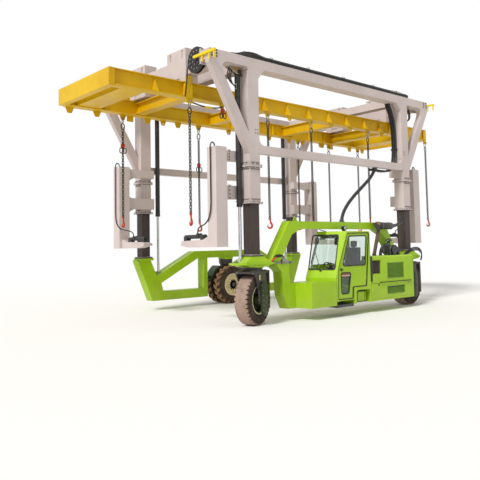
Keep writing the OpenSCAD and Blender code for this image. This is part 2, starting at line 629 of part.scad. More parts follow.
module lower_beams() color(cream) sides() {
  bx([-bk(half_s), bk(half_s)], [0, half_s], [low_beam_z, low_beam_z + low_beam_h]);
}

// Square sleeves that slide on the masts: bolted collar, foot flange with ribs, wear pads inside
collar_z = 3600;
module sleeves() color(cream) sides() ends() translate([col_x, 0, 0]) difference() {
  union() {
    bx([-half_s, half_s], [-half_s, half_s], [sleeve_foot_z, beam_z]);
    for (z = [sleeve_foot_z, collar_z - 24, collar_z + 1])
      bx([-half_s - 38, half_s + 38], [-half_s - 38, half_s + 38], [z, z + 23]);
    for (z = [sleeve_foot_z + 22, collar_z + 23]) for (t = [-half_s + 20, -8, half_s - 36]) {
      xz([t, t + 16], [[-half_s - 34, z], [half_s + 34, z], [half_s, z + 80], [-half_s, z + 80]]);
      yz([t, t + 16], [[-half_s - 34, z], [half_s + 34, z], [half_s, z + 80], [-half_s, z + 80]]);
    }
  }
  for (z = [[sleeve_foot_z + 220, 4300], [4500, beam_z - 14]])
    bx([15 - half_s, half_s - 15], [15 - half_s, half_s - 15], z);
  bx([-mast_w / 2 - seat, mast_w / 2 + seat], [-mast_w / 2 - seat, mast_w / 2 + seat],
    [sleeve_foot_z - 1, 4501]);
}

// Slanted braces in the outer half of the frame's width
brace_foot_z = 3880;
module braces() color(cream) sides() ends() {
  foot = [col_x + half_s, brace_foot_z];
  knee = [tip_x - 190, 5480];
  u = unit(knee - foot);
  n = [-u[1], u[0]] * brace_w;
  k2 = knee + n;
  inner_top = [k2[0] + (beam_z - k2[1]) * u[0] / u[1], beam_z];
  union() {
    xz([0, half_s], [foot, knee, [tip_x, tip_beam_z[0]], [tip_x, beam_z], inner_top,
      [col_x + half_s, k2[1] - (k2[0] - col_x - half_s) * u[1] / u[0]]]);
    fillet([0, half_s], inner_top + [2, 0], [-1, 0], -u, 165);
  }
  fillet([0, half_s], [col_x + half_s, beam_z], [1, 0], [0, -1], 70);
  xz([0, half_s], [[col_x - half_s, beam_z], [col_x - half_s, beam_z - 230],
    [col_x - half_s - 200, beam_z]]);
  fillet([0, half_s], [col_x - half_s, low_beam_z + low_beam_h], [-1, 0], [0, 1], 150);
}

// Beams across the machine: one pair at the masts, one pair at the tips on deep end plates
module cross_beams() color(cream) ends() {
  difference() {
    bx([col_x - 150, col_x + 150], [y_right + half_s, y_left - half_s], [beam_z, frame_top]);
    bx([col_x - 130, col_x + 130], [y_right + half_s + 300, y_left - half_s - 300],
      [beam_z - 1, frame_top - 20]);
  }
  union() {
    bx(tip_beam, [y_right + half_s, y_left - half_s], tip_beam_z);
    for (y = [y_right + half_s, y_left - half_s - 40]) bx([tip_beam[0] - 60, tip_x], [y, y + 40],
      [beam_z - 60, frame_top + 60]);
  }
}

module lift_barrels() color(black) {
  left() ends() translate([col_x + rod_out, rod_v, 0]) barrel();
  right() ends() translate([col_x - rod_in, rod_v, 0]) barrel();
}
// Barrel with a gland at its foot, an oil port and the eye that its pin goes through
module barrel() difference() {
  union() {
    translate([0, 0, barrel_foot_z]) cylinder(h = beam_z - clevis_h - barrel_foot_z, d = barrel_d);
    translate([0, 0, barrel_foot_z]) cylinder(h = 70, d = barrel_d + 8);
    bx([-35, 35], [-48, 48], [beam_z - clevis_h - 20, beam_z - clevis_h + 56]);
    ycyl(0, [-48, 48], beam_z - clevis_h + 55, 50);
    ycyl(0, [-barrel_d / 2 - 30, 0], barrel_foot_z + 130, 22);
  }
  translate([0, 0, barrel_foot_z - 1]) cylinder(h = 200, d = rod_d + 2 * seat);
  translate([0, 0, barrel_foot_z + 80]) cylinder(h = beam_z - 250 - barrel_foot_z - 80,
    d = rod_d + 16);
}

// Guide legs: a square tube on two flanged arms
module legs() color(cream) sides() ends() translate([col_x, 0, 0]) {
  inner = leg_d - leg_w / 2;
  union() {
    bx([inner, leg_d + leg_w / 2], [leg_v - leg_w / 2, leg_v + leg_w / 2], [leg_foot_z, leg_top_z]);
    for (z = [[2850, 3150], [3720, 3950]]) {
      bx([-half_s, inner + 20], [-half_s - 160, -half_s], z);
      bx([inner - 24, inner + 1], [-half_s - 200, 8 - half_s], [z[0] - 30, z[1] + 30]);
      xz([-half_s - 90, -half_s - 74], [[inner - 200, z[0] + 1], [inner - 1, z[0] + 1],
        [inner - 1, z[0] - 110]]);
    }
  }
}

// Arms across the feet of the legs, deeper at the leg, with a bored tab
function arm_top(v) = leg_foot_z + 150 + (v + 1100) / 42;
module foot_arms() color(cream) sides() ends() translate([col_x + leg_d, leg_v - leg_w / 2, 0])
  difference() {
    union() {
      yz([-100, 100], [[0, leg_foot_z], [0, leg_foot_z + 230], [-120, leg_foot_z + 230],
        [-260, arm_top(-260)], [-1100, arm_top(-1100)], [-1100, leg_foot_z + 40],
        [-820, leg_foot_z]]);
      bx([-125, 125], [-24, 0], [leg_foot_z, leg_foot_z + 260]);
      xz([-1060, -1030], [[-99, leg_foot_z + 60], [-200, leg_foot_z + 60], [-200, leg_foot_z + 110],
        [-99, leg_foot_z + 145]]);
    }
    ycyl(-160, [-1061, -1029], leg_foot_z + 92, 14);
  }

// Clamping gear on each foot arm: a cylinder on two blocks with its valve
module foot_gear() color(black) sides() ends() translate([col_x + leg_d, leg_v - leg_w / 2, 0]) {
  z = leg_foot_z + 245;
  union() {
    for (v = [[-1050, -930], [-420, -280]]) yz([-60, 60], [[v[0], arm_top(v[0]) + seat],
      [v[0], z], [v[1], z], [v[1], arm_top(v[1]) + seat]]);
    ycyl(0, [-1040, -290], z, 48);
    ycyl(0, [-1095, -1030], z, 26);
    bx([-62, 62], [-575, -490], [z, z + 60]);
    for (x = [-40, 40]) bx([x - 18, x + 18], [-555, -510], [z + 59, leg_foot_z + 325]);
  }
}

// Hose reel on the front tip beam: two pierced cheeks on a drum, as large as the room between the
// trolley at the end of its travel and the beam's end plate
reel_y = [sp_y + web_y + 100 + side_shift + 6, y_left - half_s - 60];
reel_r = (reel_y[1] - reel_y[0]) / 2;
module reel() color(steel) translate([tip_beam[1], reel_y[0] + reel_r, tip_beam_z[1] - 190])
  rotate([0, 90, 0]) difference() {
    union() {
      cylinder(h = 31, r = 60);
      for (z = [30, 95]) translate([0, 0, z]) cylinder(h = 15, r = reel_r);
      translate([0, 0, 44]) cylinder(h = 52, r = reel_r - 85);
      translate([0, 0, 109]) cylinder(h = 25, r = 70);
    }
    for (t = [0 : 30 : 330]) rotate([0, 0, t]) translate([reel_r - 130, 0, 29])
      cylinder(h = 90, r = 13);
  }

// Lamp bars across both ends of the left top beam, each with three prongs
module lamp_brackets() color(yellow) left() ends() union() {
  bx([tip_x, tip_x + 50], [-380, 380], [frame_top - 125, frame_top - 70]);
  for (v = [-85, 155, 335]) bx([tip_x + 10, tip_x + 40], [v, v + 30],
    [frame_top - 270, frame_top - 124]);
}

// Hoses that the lift frame holds: five in clamps along the left top beam, three that climb its
// rear column, and one down each leg to the clamping gear
hose_z = low_beam_z - 32;
column_hose = [[1350, hose_z], [530, hose_z - 32], [-30, hose_z - 162], [170, hose_z + 438],
  [330, hose_z + 1038], [-30, beam_z - 374], [470, beam_z - 174], [470, beam_z]];
leg_bend = [[60, 0, 2230], [60, 0, 2370], [196, 0, 2370], [190, 0, 2200]];
leg_tail = [[190, 0, 1000], [190, 0, 480], [215, -250, 430], [40, -690, 560], [40, -690, 325]];
module frame_hoses() color(black) {
  left() union() {
    for (k = [-2 : 2]) translate([-col_x - 270, 42 * k, frame_top + 22]) rotate([0, 90, 0])
      cylinder(h = 2 * col_x + 140, r = 20);
    for (x = [-2200, -1000, 400, 1800]) bx([x, x + 40], [-112, 112], [frame_top, frame_top + 48]);
  }
  left() union() {
    for (k = [0 : 2]) tube(curve([for (q = column_hose) [q[0] - col_x, -34 - 58 * k, q[1]]], 18),
      28, 8, [[-1, 0, 0], [0, 0, 1]]);
    bx([1310 - col_x, 1350 - col_x], [-182, 60], [hose_z - 32, low_beam_z]);
    bx([half_s - col_x, half_s - col_x + 70], [-182, -2], [4500, 4560]);
  }
  sides() ends() translate([col_x + leg_d, leg_v, leg_foot_z])
    tube(concat(curve(leg_bend, 6), curve(leg_tail, 10)), 16, 6, [[0, 0, 1], [0, 0, -1]]);
}

// Long beams: plate girders with wedge ribs outboard and stiffeners inboard
ribs = [4930, 1550, 690, -150, -1000, -1820, -2690, -3460];
beam_end = spreader_len / 2 - 150;
module spreader_beams() color(yellow) translate([0, sp_y, 0]) for (m = [0, 1]) mirror([0, m, 0])
  union() {
    yz([-beam_end, beam_end], [[web_y - 110, spreader_z],
      [web_y + 150, spreader_z], [web_y + 150, spreader_z + 25], [web_y + 12, spreader_z + 25],
      [web_y + 12, sp_top - 25], [web_y + 60, sp_top - 25], [web_y + 60, sp_top],
      [web_y - 60, sp_top], [web_y - 60, sp_top - 25], [web_y - 12, sp_top - 25],
      [web_y - 12, spreader_z + 25], [web_y - 110, spreader_z + 25]]);
    for (x = ribs) {
      intersection() {
        yz([x - 60, x + 60], [[web_y + 11, spreader_z + 24], [web_y + 148, spreader_z + 24],
          [web_y + 22, sp_top - 40], [web_y + 11, sp_top - 40]]);
        xz([web_y, web_y + 150], [[x - 58, spreader_z + 24], [x + 58, spreader_z + 24],
          [x + 6, sp_top - 40], [x - 6, sp_top - 40]]);
      }
      if (x != 1550) yz([x - 6, x + 6], [[web_y - 11, spreader_z + 24],
        [web_y - 105, spreader_z + 24], [web_y - 56, sp_top - 24], [web_y - 11, sp_top - 24]]);
    }
  }

// Lug plates under the long beams' outer flanges, bored for a shackle's pin
lug_t = 25;                       // plate
lug_r = 20;                       // bore
lug_drop = 125;                   // reach below the flange
pin_drop = 80;                    // bore below the flange
chain_y = web_y + 120;
spare_lugs = [3050, 690, -1000, -1900, -3460];
module lugs() color(yellow) translate([0, sp_y, 0]) for (m = [0, 1]) mirror([0, m, 0])
  for (x = lug_x(m)) difference() {
    xz([chain_y - lug_t / 2, chain_y + lug_t / 2],
      [[max(x - 95, -beam_end), spreader_z], [x - 45, spreader_z - lug_drop],
        [x + 45, spreader_z - lug_drop], [min(x + 95, beam_end), spreader_z]]);
    ycyl(x, [chain_y - lug_t, chain_y + lug_t], spreader_z - pin_drop, lug_r);
  }
// Lugs of the left (0) or right (1) beam: one at each chain and some spare
function lug_x(m) = concat([for (h = hang) if (h[1] == 1 - 2 * m) h[0]], spare_lugs);

// End beams, wide boxes near the ends, I-beams in the middle and the trolleys' hanger plates
module spreader_cross() color(yellow) translate([0, sp_y, 0]) {
  ends() xz([-spreader_w / 2, spreader_w / 2], [[beam_end, spreader_z],
    [spreader_len / 2, spreader_z], [spreader_len / 2, sp_top], [beam_end, sp_top],
    [beam_end, sp_top - 25], [spreader_len / 2 - 25, sp_top - 25],
    [spreader_len / 2 - 25, spreader_z + 25], [beam_end, spreader_z + 25]]);
  ends() bx([5080, 5690], [12 - web_y, web_y - 12], [spreader_z + 25, spreader_z + 265]);
  ends() for (c = [[3935, 140, 100], [1500, 110, 70]]) xz([12 - web_y, web_y - 12],
    i_beam(c[0], c[1], c[2], spreader_z + 25, sp_top - 60, 22));
  ends() for (m = [0, 1]) mirror([0, m, 0]) union() {
    bx(hanger, [web_y + 150, web_y + 175], [spreader_z - 132, sp_top + 120]);
    for (x = [hanger[0] + 20, hanger[1] - 40]) bx([x, x + 20], [web_y + 12, web_y + 151],
      [spreader_z + 25, sp_top - 40]);
    bx([hanger[0] + 5, hanger[1] - 5], [web_y + 60, web_y + 151], [sp_top - 20, sp_top]);
  }
}
// Section of an I-beam about x: half flange widths below and above, bottom, top and plate
function i_beam(x, low, high, z0, z1, t) = [[x - low, z0], [x + low, z0], [x + low, z0 + t],
  [x + t / 2, z0 + t], [x + t / 2, z1 - t], [x + high, z1 - t], [x + high, z1], [x - high, z1],
  [x - high, z1 - t], [x - t / 2, z1 - t], [x - t / 2, z0 + t], [x - low, z0 + t]];

// Side-shift carriages that ride on the tip beams and carry the spreader
module trolleys() color(cream) translate([0, sp_y, 0]) ends() for (m = [0, 1]) mirror([0, m, 0])
  difference() {
    bx([tip_beam[0] - 50, tip_beam[1] + 50], [web_y - 650, web_y + 100], [sp_top, trolley_top_z]);
    bx([tip_beam[0] - seat, tip_beam[1] + seat], [web_y - 651, web_y + 101],
      [tip_beam_z[0] - 6, tip_beam_z[1] + seat]);
    for (x = [tip_beam[0] - 51, tip_beam[1] + 30]) for (y = [web_y - 540, web_y - 60])
      bx([x, x + 21], [y, y + 60], [tip_beam_z[1] + 10, trolley_top_z - 40]);
    for (x = [tip_beam[0] - 51, tip_beam[1] + 30]) bx([x, x + 21], [web_y - 400, web_y - 150],
      [sp_top + 30, sp_top + 120]);
  }

// Chain hangers: x, side (1 left, -1 right) and the height of the hook's point
hang_end = spreader_len / 2 - 171;
hang = [[4030, 1, 2260], [1510, 1, 2200], [-160, 1, 2200], [-2730, 1, 2250], [-hang_end, 1, 2300],
  [4310, -1, 2300], [1830, -1, 2200], [-2330, -1, 2250], [-3890, -1, 2300],
  [405 - hang_end, -1, 2200]];
// Chains as one band each: wide flats turn by a quarter from link to link
module chains() color(steel) for (h = hang)
  chain([h[0], sp_y + h[1] * chain_y], [h[2] + hook_h + seat, spreader_z - lug_drop]);
module chain(c, z) {
  n = 2 * round((z[1] - z[0]) / 310);
  pts = [for (i = [0 : n])
    let (w = i == 0 || i == n || i % 2 == 0 ? [6, 6] : i % 4 == 1 ? [24, 8] : [8, 24])
    for (q = [[-1, -1], [1, -1], [1, 1], [-1, 1]])
      [c[0] + q[0] * w[0], c[1] + q[1] * w[1], lerp(z[0], z[1], i / n)]];
  polyhedron(points = pts, faces = concat([[0, 1, 2, 3]], [[for (k = [3 : -1 : 0]) 4 * n + k]],
    [for (i = [0 : n - 1]) for (k = [0 : 3])
      [4 * i + k, 4 * i + 4 + k, 4 * i + 4 + (k + 1) % 4, 4 * i + (k + 1) % 4]]));
}

// Sling hooks: eye, shank and bowl in one plate
hook_h = 300;
module hooks() color(orange) for (h = hang)
  translate([h[0], sp_y + h[1] * chain_y + 18, h[2]]) rotate([90, 0, 0]) linear_extrude(height = 36)
    difference() {
      union() {
        translate([0, hook_h - 38]) circle(38);
        polygon([[-22, hook_h - 38], [22, hook_h - 38], [46, 120], [-62, 110]]);
        translate([0, 72]) circle(72);
      }
      translate([0, hook_h - 38]) circle(18);
      translate([8, 80]) circle(38);
      polygon([[8, 80], [90, 70], [90, 150], [20, 112]]);
    }

chassis_left();
decks_left();
arch_left();
chassis_right();
mudguards_right();
masts();
lift_rods();
cab_shell();
cab_glass();
cab_inside();
storage_box();
step();
engine_housing();
engine_block();
grilles();
cooler();
muffler();
air_cleaner();
work_lamp();
umbilical();
cab_door();
door_glass();
fork_front_left();
tyre_front_left();
rim_front_left();
fork_rear_left();
tyre_rear_left();
rim_rear_left();
knuckle_right();
tyres_right();
rims_right();
top_beams();
lower_beams();
sleeves();
braces();
cross_beams();
lift_barrels();
legs();
foot_arms();
foot_gear();
reel();
lamp_brackets();
frame_hoses();
spreader_beams();
spreader_cross();
trolleys();
lugs();
chains();
hooks();
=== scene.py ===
"""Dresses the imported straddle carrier: finishes, hoses, chains, tyres, fastenings and light."""
import math

import bmesh  # noqa: E402
import bpy  # noqa: E402
import numpy as np  # noqa: E402
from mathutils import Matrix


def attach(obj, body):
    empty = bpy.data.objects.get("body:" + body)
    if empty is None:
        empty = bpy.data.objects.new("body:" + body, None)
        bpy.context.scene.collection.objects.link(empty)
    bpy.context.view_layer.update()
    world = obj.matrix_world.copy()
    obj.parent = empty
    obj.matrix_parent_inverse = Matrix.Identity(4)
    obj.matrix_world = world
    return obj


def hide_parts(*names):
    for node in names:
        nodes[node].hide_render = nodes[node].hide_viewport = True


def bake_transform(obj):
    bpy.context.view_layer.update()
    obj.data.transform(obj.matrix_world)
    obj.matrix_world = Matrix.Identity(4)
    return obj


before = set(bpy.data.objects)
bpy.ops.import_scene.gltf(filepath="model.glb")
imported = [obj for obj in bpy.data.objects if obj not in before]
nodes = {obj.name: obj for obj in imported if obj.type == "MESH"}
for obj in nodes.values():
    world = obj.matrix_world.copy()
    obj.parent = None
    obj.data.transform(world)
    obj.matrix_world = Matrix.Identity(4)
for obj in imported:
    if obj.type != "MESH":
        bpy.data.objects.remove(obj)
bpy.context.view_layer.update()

# What many pieces share, in metres: the planes of the left and right masts, the masts' distance
# from the middle, the wheels' radii, which are their axles' heights too, and the angle at which the
# front left wheel stands
Y_LEFT, Y_RIGHT, COL = 2.16, -2.4, 3.03
LEFT_WHEEL, TWIN_WHEEL = 0.57, 0.585
PARKED = math.radians(18.5)
# The height of the mast feet on each side, and the planes and the pins' height of the chains
MAST_FEET = {Y_LEFT: 1.54, Y_RIGHT: 1.475}
CHAIN_Y = {1: 1.204, -1: -1.334}
PIN_Z = 5.159


# Camera: it stands before the machine's left front corner, 1.8 m above the ground

def unit(vectors):
    """The same directions, one unit long."""
    return vectors / np.linalg.norm(vectors, axis=-1, keepdims=True)


def make_camera():
    """Looks along `ahead`, level but for its pitch and a roll of about one degree."""
    ahead = unit(np.array([-0.6589, -0.7488, 0.0724]))
    right = unit(np.cross(ahead, [0.0, 0.0, 1.0]))
    down = np.cross(ahead, right)
    roll = math.radians(1.065)
    right, down = (math.cos(roll) * right + math.sin(roll) * down,
                   math.cos(roll) * down - math.sin(roll) * right)
    camera = bpy.data.objects.new("camera", bpy.data.cameras.new("camera"))
    camera.data.sensor_width = 36.0
    camera.data.lens = 45.3
    camera.data.shift_y = -0.08125
    camera.data.clip_start = 0.1
    camera.data.clip_end = 400.0
    turn = np.eye(4)
    turn[:3, 0], turn[:3, 1], turn[:3, 2] = right, -down, -ahead
    turn[:3, 3] = (12.322, 12.343, 1.809)
    camera.matrix_world = turn.T.tolist()
    bpy.context.scene.collection.objects.link(camera)
    bpy.context.scene.camera = camera


make_camera()


# Meshes from arrays. A part is a pair of its points and its faces.

def add(name, part, finish, body=None, smooth=True):
    """A mesh object of one part or several, in that finish, which rides on the body if one is
    given. Points that meet are merged, which closes seams and poles, and then the faces are
    turned outwards."""
    points, faces = joined(part) if isinstance(part, list) else part
    mesh = bpy.data.meshes.new(name)
    mesh.from_pydata(np.asarray(points, float).tolist(), [], np.asarray(faces, int).tolist())
    whole = bmesh.new()
    whole.from_mesh(mesh)
    bmesh.ops.remove_doubles(whole, verts=whole.verts, dist=1e-5)
    bmesh.ops.recalc_face_normals(whole, faces=whole.faces)
    whole.to_mesh(mesh)
    whole.free()
    mesh.polygons.foreach_set("use_smooth", np.full(len(mesh.polygons), smooth))
    mesh.update()
    piece = bpy.data.objects.new(name, mesh)
    bpy.context.scene.collection.objects.link(piece)
    mesh.materials.append(finish)
    if body:
        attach(piece, body)
    return piece


def circle(count):
    """The angles of that many even steps once round."""
    return np.linspace(0, 2 * math.pi, count, endpoint=False)


def grid(xs, ys, zs):
    """Every place that has one of these x, one of these y and one of these z."""
    return [(x, y, z) for x in np.atleast_1d(xs) for y in np.atleast_1d(ys)
            for z in np.atleast_1d(zs)]


def grid_faces(rows, columns):
    """Quads between neighbouring rows of a grid whose last column meets its first."""
    row, column = np.meshgrid(np.arange(rows - 1), np.arange(columns), indexing="ij")
    after = (column + 1) % columns
    quads = np.stack([row * columns + column, row * columns + after,
                      (row + 1) * columns + after, (row + 1) * columns + column], -1)
    return quads.reshape(-1, 4)


def skin(rings, close=False):
    """The surface over these rings of points; `close` leads it back to the first ring."""
    if close:
        rings = np.concatenate([rings, rings[:1]])
    return rings.reshape(-1, 3), grid_faces(len(rings), rings.shape[1])


def bezier(controls, count, start=0.0):
    """Points of the Bezier curve: each control point weighted by its Bernstein polynomial."""
    t, degree = np.linspace(start, 1, count), len(controls) - 1
    weights = [math.comb(degree, k) * t ** k * (1 - t) ** (degree - k) for k in range(degree + 1)]
    return np.stack(weights, -1) @ np.asarray(controls, float)


def way_along(path):
    """How far along the path each of its points is."""
    return np.concatenate([[0], np.cumsum(np.linalg.norm(np.diff(path, axis=0), axis=1))])


def wire(path, out, side, deep, wide, sides):
    """A wire bent to a closed path. Each point is the path's, plus `deep` times a cosine along
    `out`, away from the hole, and `wide` times a sine along `side`, square to the path's plane."""
    turn = circle(sides)[None, :, None]
    return skin(path[:, None] + deep * np.cos(turn) * out[:, None]
                + wide * np.sin(turn) * np.asarray(side, float), close=True)


def swept_ring(path, radii, sides):
    """Rings square to the path: each point is the path's, plus its radius times a turning unit
    vector in the plane of two directions carried along the path."""
    path = np.asarray(path, float)
    along = unit(np.gradient(path, axis=0))
    fixed = np.eye(3)[np.argmin(np.abs(along).mean(0))]
    first = unit(np.cross(fixed, along))
    second = np.cross(along, first)
    turn = circle(sides)[None, :, None]
    radii = np.broadcast_to(radii, (len(path),))[:, None, None]
    return path[:, None] + radii * (np.cos(turn) * first[:, None] + np.sin(turn) * second[:, None])


def tube(path, radii, sides, closed=False):
    """A tube: rings round the path, with its ends drawn in to their middles."""
    rings = swept_ring(path, radii, sides)
    if closed:
        return skin(rings, close=True)
    ends = np.asarray(path, float)[[0, -1]][:, None] * np.ones((1, sides, 1))
    return skin(np.concatenate([ends[:1], rings, ends[1:]]))


def hose(controls, count, radius, sides):
    """A tube along a Bezier curve."""
    return tube(bezier(controls, count), radius, sides)


def revolved(profile, sides, centre=(0, 0, 0), axis="y"):
    """A closed profile of [radius, distance along the axis] turned once about the axis."""
    radius, along = np.asarray(profile, float).T
    turn = np.linspace(0, 2 * math.pi, sides + 1)[:, None]
    along = along + 0 * turn
    one, two = radius * np.cos(turn), radius * np.sin(turn)
    order = {"y": (two, along, one), "z": (one, two, along), "x": (along, one, two)}[axis]
    return skin(np.stack(order, -1) + np.asarray(centre, float))


def box_mesh(corner, opposite):
    """The eight corners and six faces of a block between two opposite corners."""
    low, high = np.minimum(corner, opposite), np.maximum(corner, opposite)
    corners = np.array([[i & 1, i >> 1 & 1, i >> 2 & 1] for i in range(8)])
    faces = [[0, 2, 3, 1], [4, 5, 7, 6], [0, 1, 5, 4], [2, 6, 7, 3], [0, 4, 6, 2], [1, 3, 7, 5]]
    return low + corners * (high - low), np.array(faces)


def rounded_loop(points, radius, steps=6):
    """The corners of a polygon as arcs of one radius."""
    points = np.asarray(points, float)
    loop = []
    for before, here, after in zip(np.roll(points, 1, 0), points, np.roll(points, -1, 0)):
        one, two = unit(before - here), unit(after - here)
        half = math.acos(np.clip(one @ two, -1, 1)) / 2
        centre = here + unit(one + two) * radius / math.sin(half)
        for t in np.linspace(0, 1, steps):
            chord = here + ((1 - t) * one + t * two) * radius / math.tan(half)
            loop.append(centre + radius * unit(chord - centre))
    return np.array(loop)


def rounded_square(low, bottom, high, top, radius, steps=6):
    """The same for an upright rectangle."""
    return rounded_loop([(low, bottom), (low, top), (high, top), (high, bottom)], radius, steps)


def band(loop, section, place):
    """A strip that follows a closed plane loop. Its section is given as [out of the loop, up from
    the plane], and `place` turns the loop's two coordinates and the height into space."""
    along = unit(np.roll(loop, -1, 0) - np.roll(loop, 1, 0))
    out = np.stack([along[:, 1], -along[:, 0]], -1)
    if np.cross(loop - loop.mean(0), np.roll(loop, -1, 0) - loop.mean(0)).sum() < 0:
        out = -out
    section = np.asarray(section, float)
    flat = loop[:, None] + out[:, None] * section[None, :, :1]
    high = np.broadcast_to(section[None, :, 1], flat.shape[:2])
    return skin(place(flat[..., 0], flat[..., 1], high), close=True)


def plate(loop, thick, place, bevel=0.003):
    """A flat plate with that outline. Both faces close to the outline's middle, and its edge steps
    in by the bevel on each."""
    loop = np.asarray(loop, float)
    middle = loop.mean(0)
    away = np.linalg.norm(loop - middle, axis=1, keepdims=True)
    inset = middle + (loop - middle) * (1 - bevel / away)
    rings = [(0 * loop + middle, 0.0), (inset, 0.0), (loop, bevel), (loop, thick - bevel),
             (inset, thick), (0 * loop + middle, thick)]
    return skin(np.stack([place(r[:, 0], r[:, 1], np.full(len(loop), up)) for r, up in rings]))


def at_y(y):
    """Places [x, z] and the height above it on an upright face that looks to the left."""
    return lambda x, z, up: np.stack([x, y + up + 0 * x, z], -1)


def at_x(x, side=1):
    """Places [v outboard of the left masts, z] on a face that looks forwards, or back at -1."""
    return lambda v, z, up: np.stack([x + side * up, Y_LEFT + v, z], -1)


def on_side(v):
    """Places [d behind the front masts, z] on an upright face v outboard of the left masts."""
    return lambda d, z, up: at_y(Y_LEFT + v)(COL - d, z, up)


def joined(parts):
    """Several parts as one, with the numbers in their faces moved on."""
    counts = np.cumsum([0] + [len(points) for points, _ in parts])
    return (np.concatenate([points for points, _ in parts]),
            np.concatenate([faces + start for (_, faces), start in zip(parts, counts)]))


def copies(part, places, turns=None):
    """The same part at each place, turned there by a 3 by 3 matrix whose columns are its axes."""
    points, faces = part
    places = np.asarray(places, float).reshape(-1, 3)
    turned = points[None] if turns is None else np.einsum("kij,nj->kni", turns, points)
    shift = (np.arange(len(places)) * len(points))[:, None, None]
    return (turned + places[:, None]).reshape(-1, 3), (faces[None] + shift).reshape(-1, 4)


def facing(directions):
    """For each direction a turn that brings +Z to it."""
    third = unit(np.asarray(directions, float).reshape(-1, 3))
    helper = np.where(np.abs(third[:, 2:]) > 0.9, [[1.0, 0.0, 0.0]], [[0.0, 0.0, 1.0]])
    first = unit(np.cross(helper, third))
    return np.stack([first, np.cross(third, first), third], -1)


def about_z(angles):
    """Turns about the upright by these angles, as 3 by 3 matrices."""
    c, s = np.cos(angles), np.sin(angles)
    rows = [(c, -s, 0 * c), (s, c, 0 * c), (0 * c, 0 * c, 0 * c + 1)]
    return np.stack([np.stack(row, -1) for row in rows], -2)


def spun(part, centre, steer=0.0):
    """The part moved to a wheel's centre and turned about the upright there."""
    return part[0] @ about_z(steer).T + np.asarray(centre, float), part[1]


def hex_head(across, high):
    """A hexagon head with a chamfered top, standing on +Z."""
    turn = circle(6)
    rings = [np.stack([k * across * np.cos(turn), k * across * np.sin(turn), 0 * turn + z], -1)
             for k, z in ((1.0, 0.0), (1.0, 0.82 * high), (0.84, high))]
    points, faces = skin(np.stack(rings))
    return points, np.concatenate([faces, [[12, 13, 14, 15], [12, 15, 16, 17]]])


def heads(places, direction, across=0.013, high=0.011):
    """Hexagon heads at these places, all standing up along one direction."""
    places = np.asarray(places, float).reshape(-1, 3)
    return copies(hex_head(across, high), places, facing([direction] * len(places)))


def bolt_ring(radius, count, across, high, centre, side=1):
    """Hexagon heads round a circle that looks to the left, or to the right at -1."""
    turn = circle(count)
    points, faces = copies(hex_head(across, high),
                           np.stack([radius * np.cos(turn), radius * np.sin(turn), 0 * turn], -1))
    return points[:, [0, 2, 1]] * (1, side, -side) + centre, faces


# Finishes

def linear(hex_colour):
    """A written sRGB colour as the linear colour that a shader holds."""
    c = np.array([int(hex_colour[i:i + 2], 16) for i in (1, 3, 5)]) / 255
    return (*np.where(c <= 0.04045, c / 12.92, ((c + 0.055) / 1.055) ** 2.4).tolist(), 1.0)


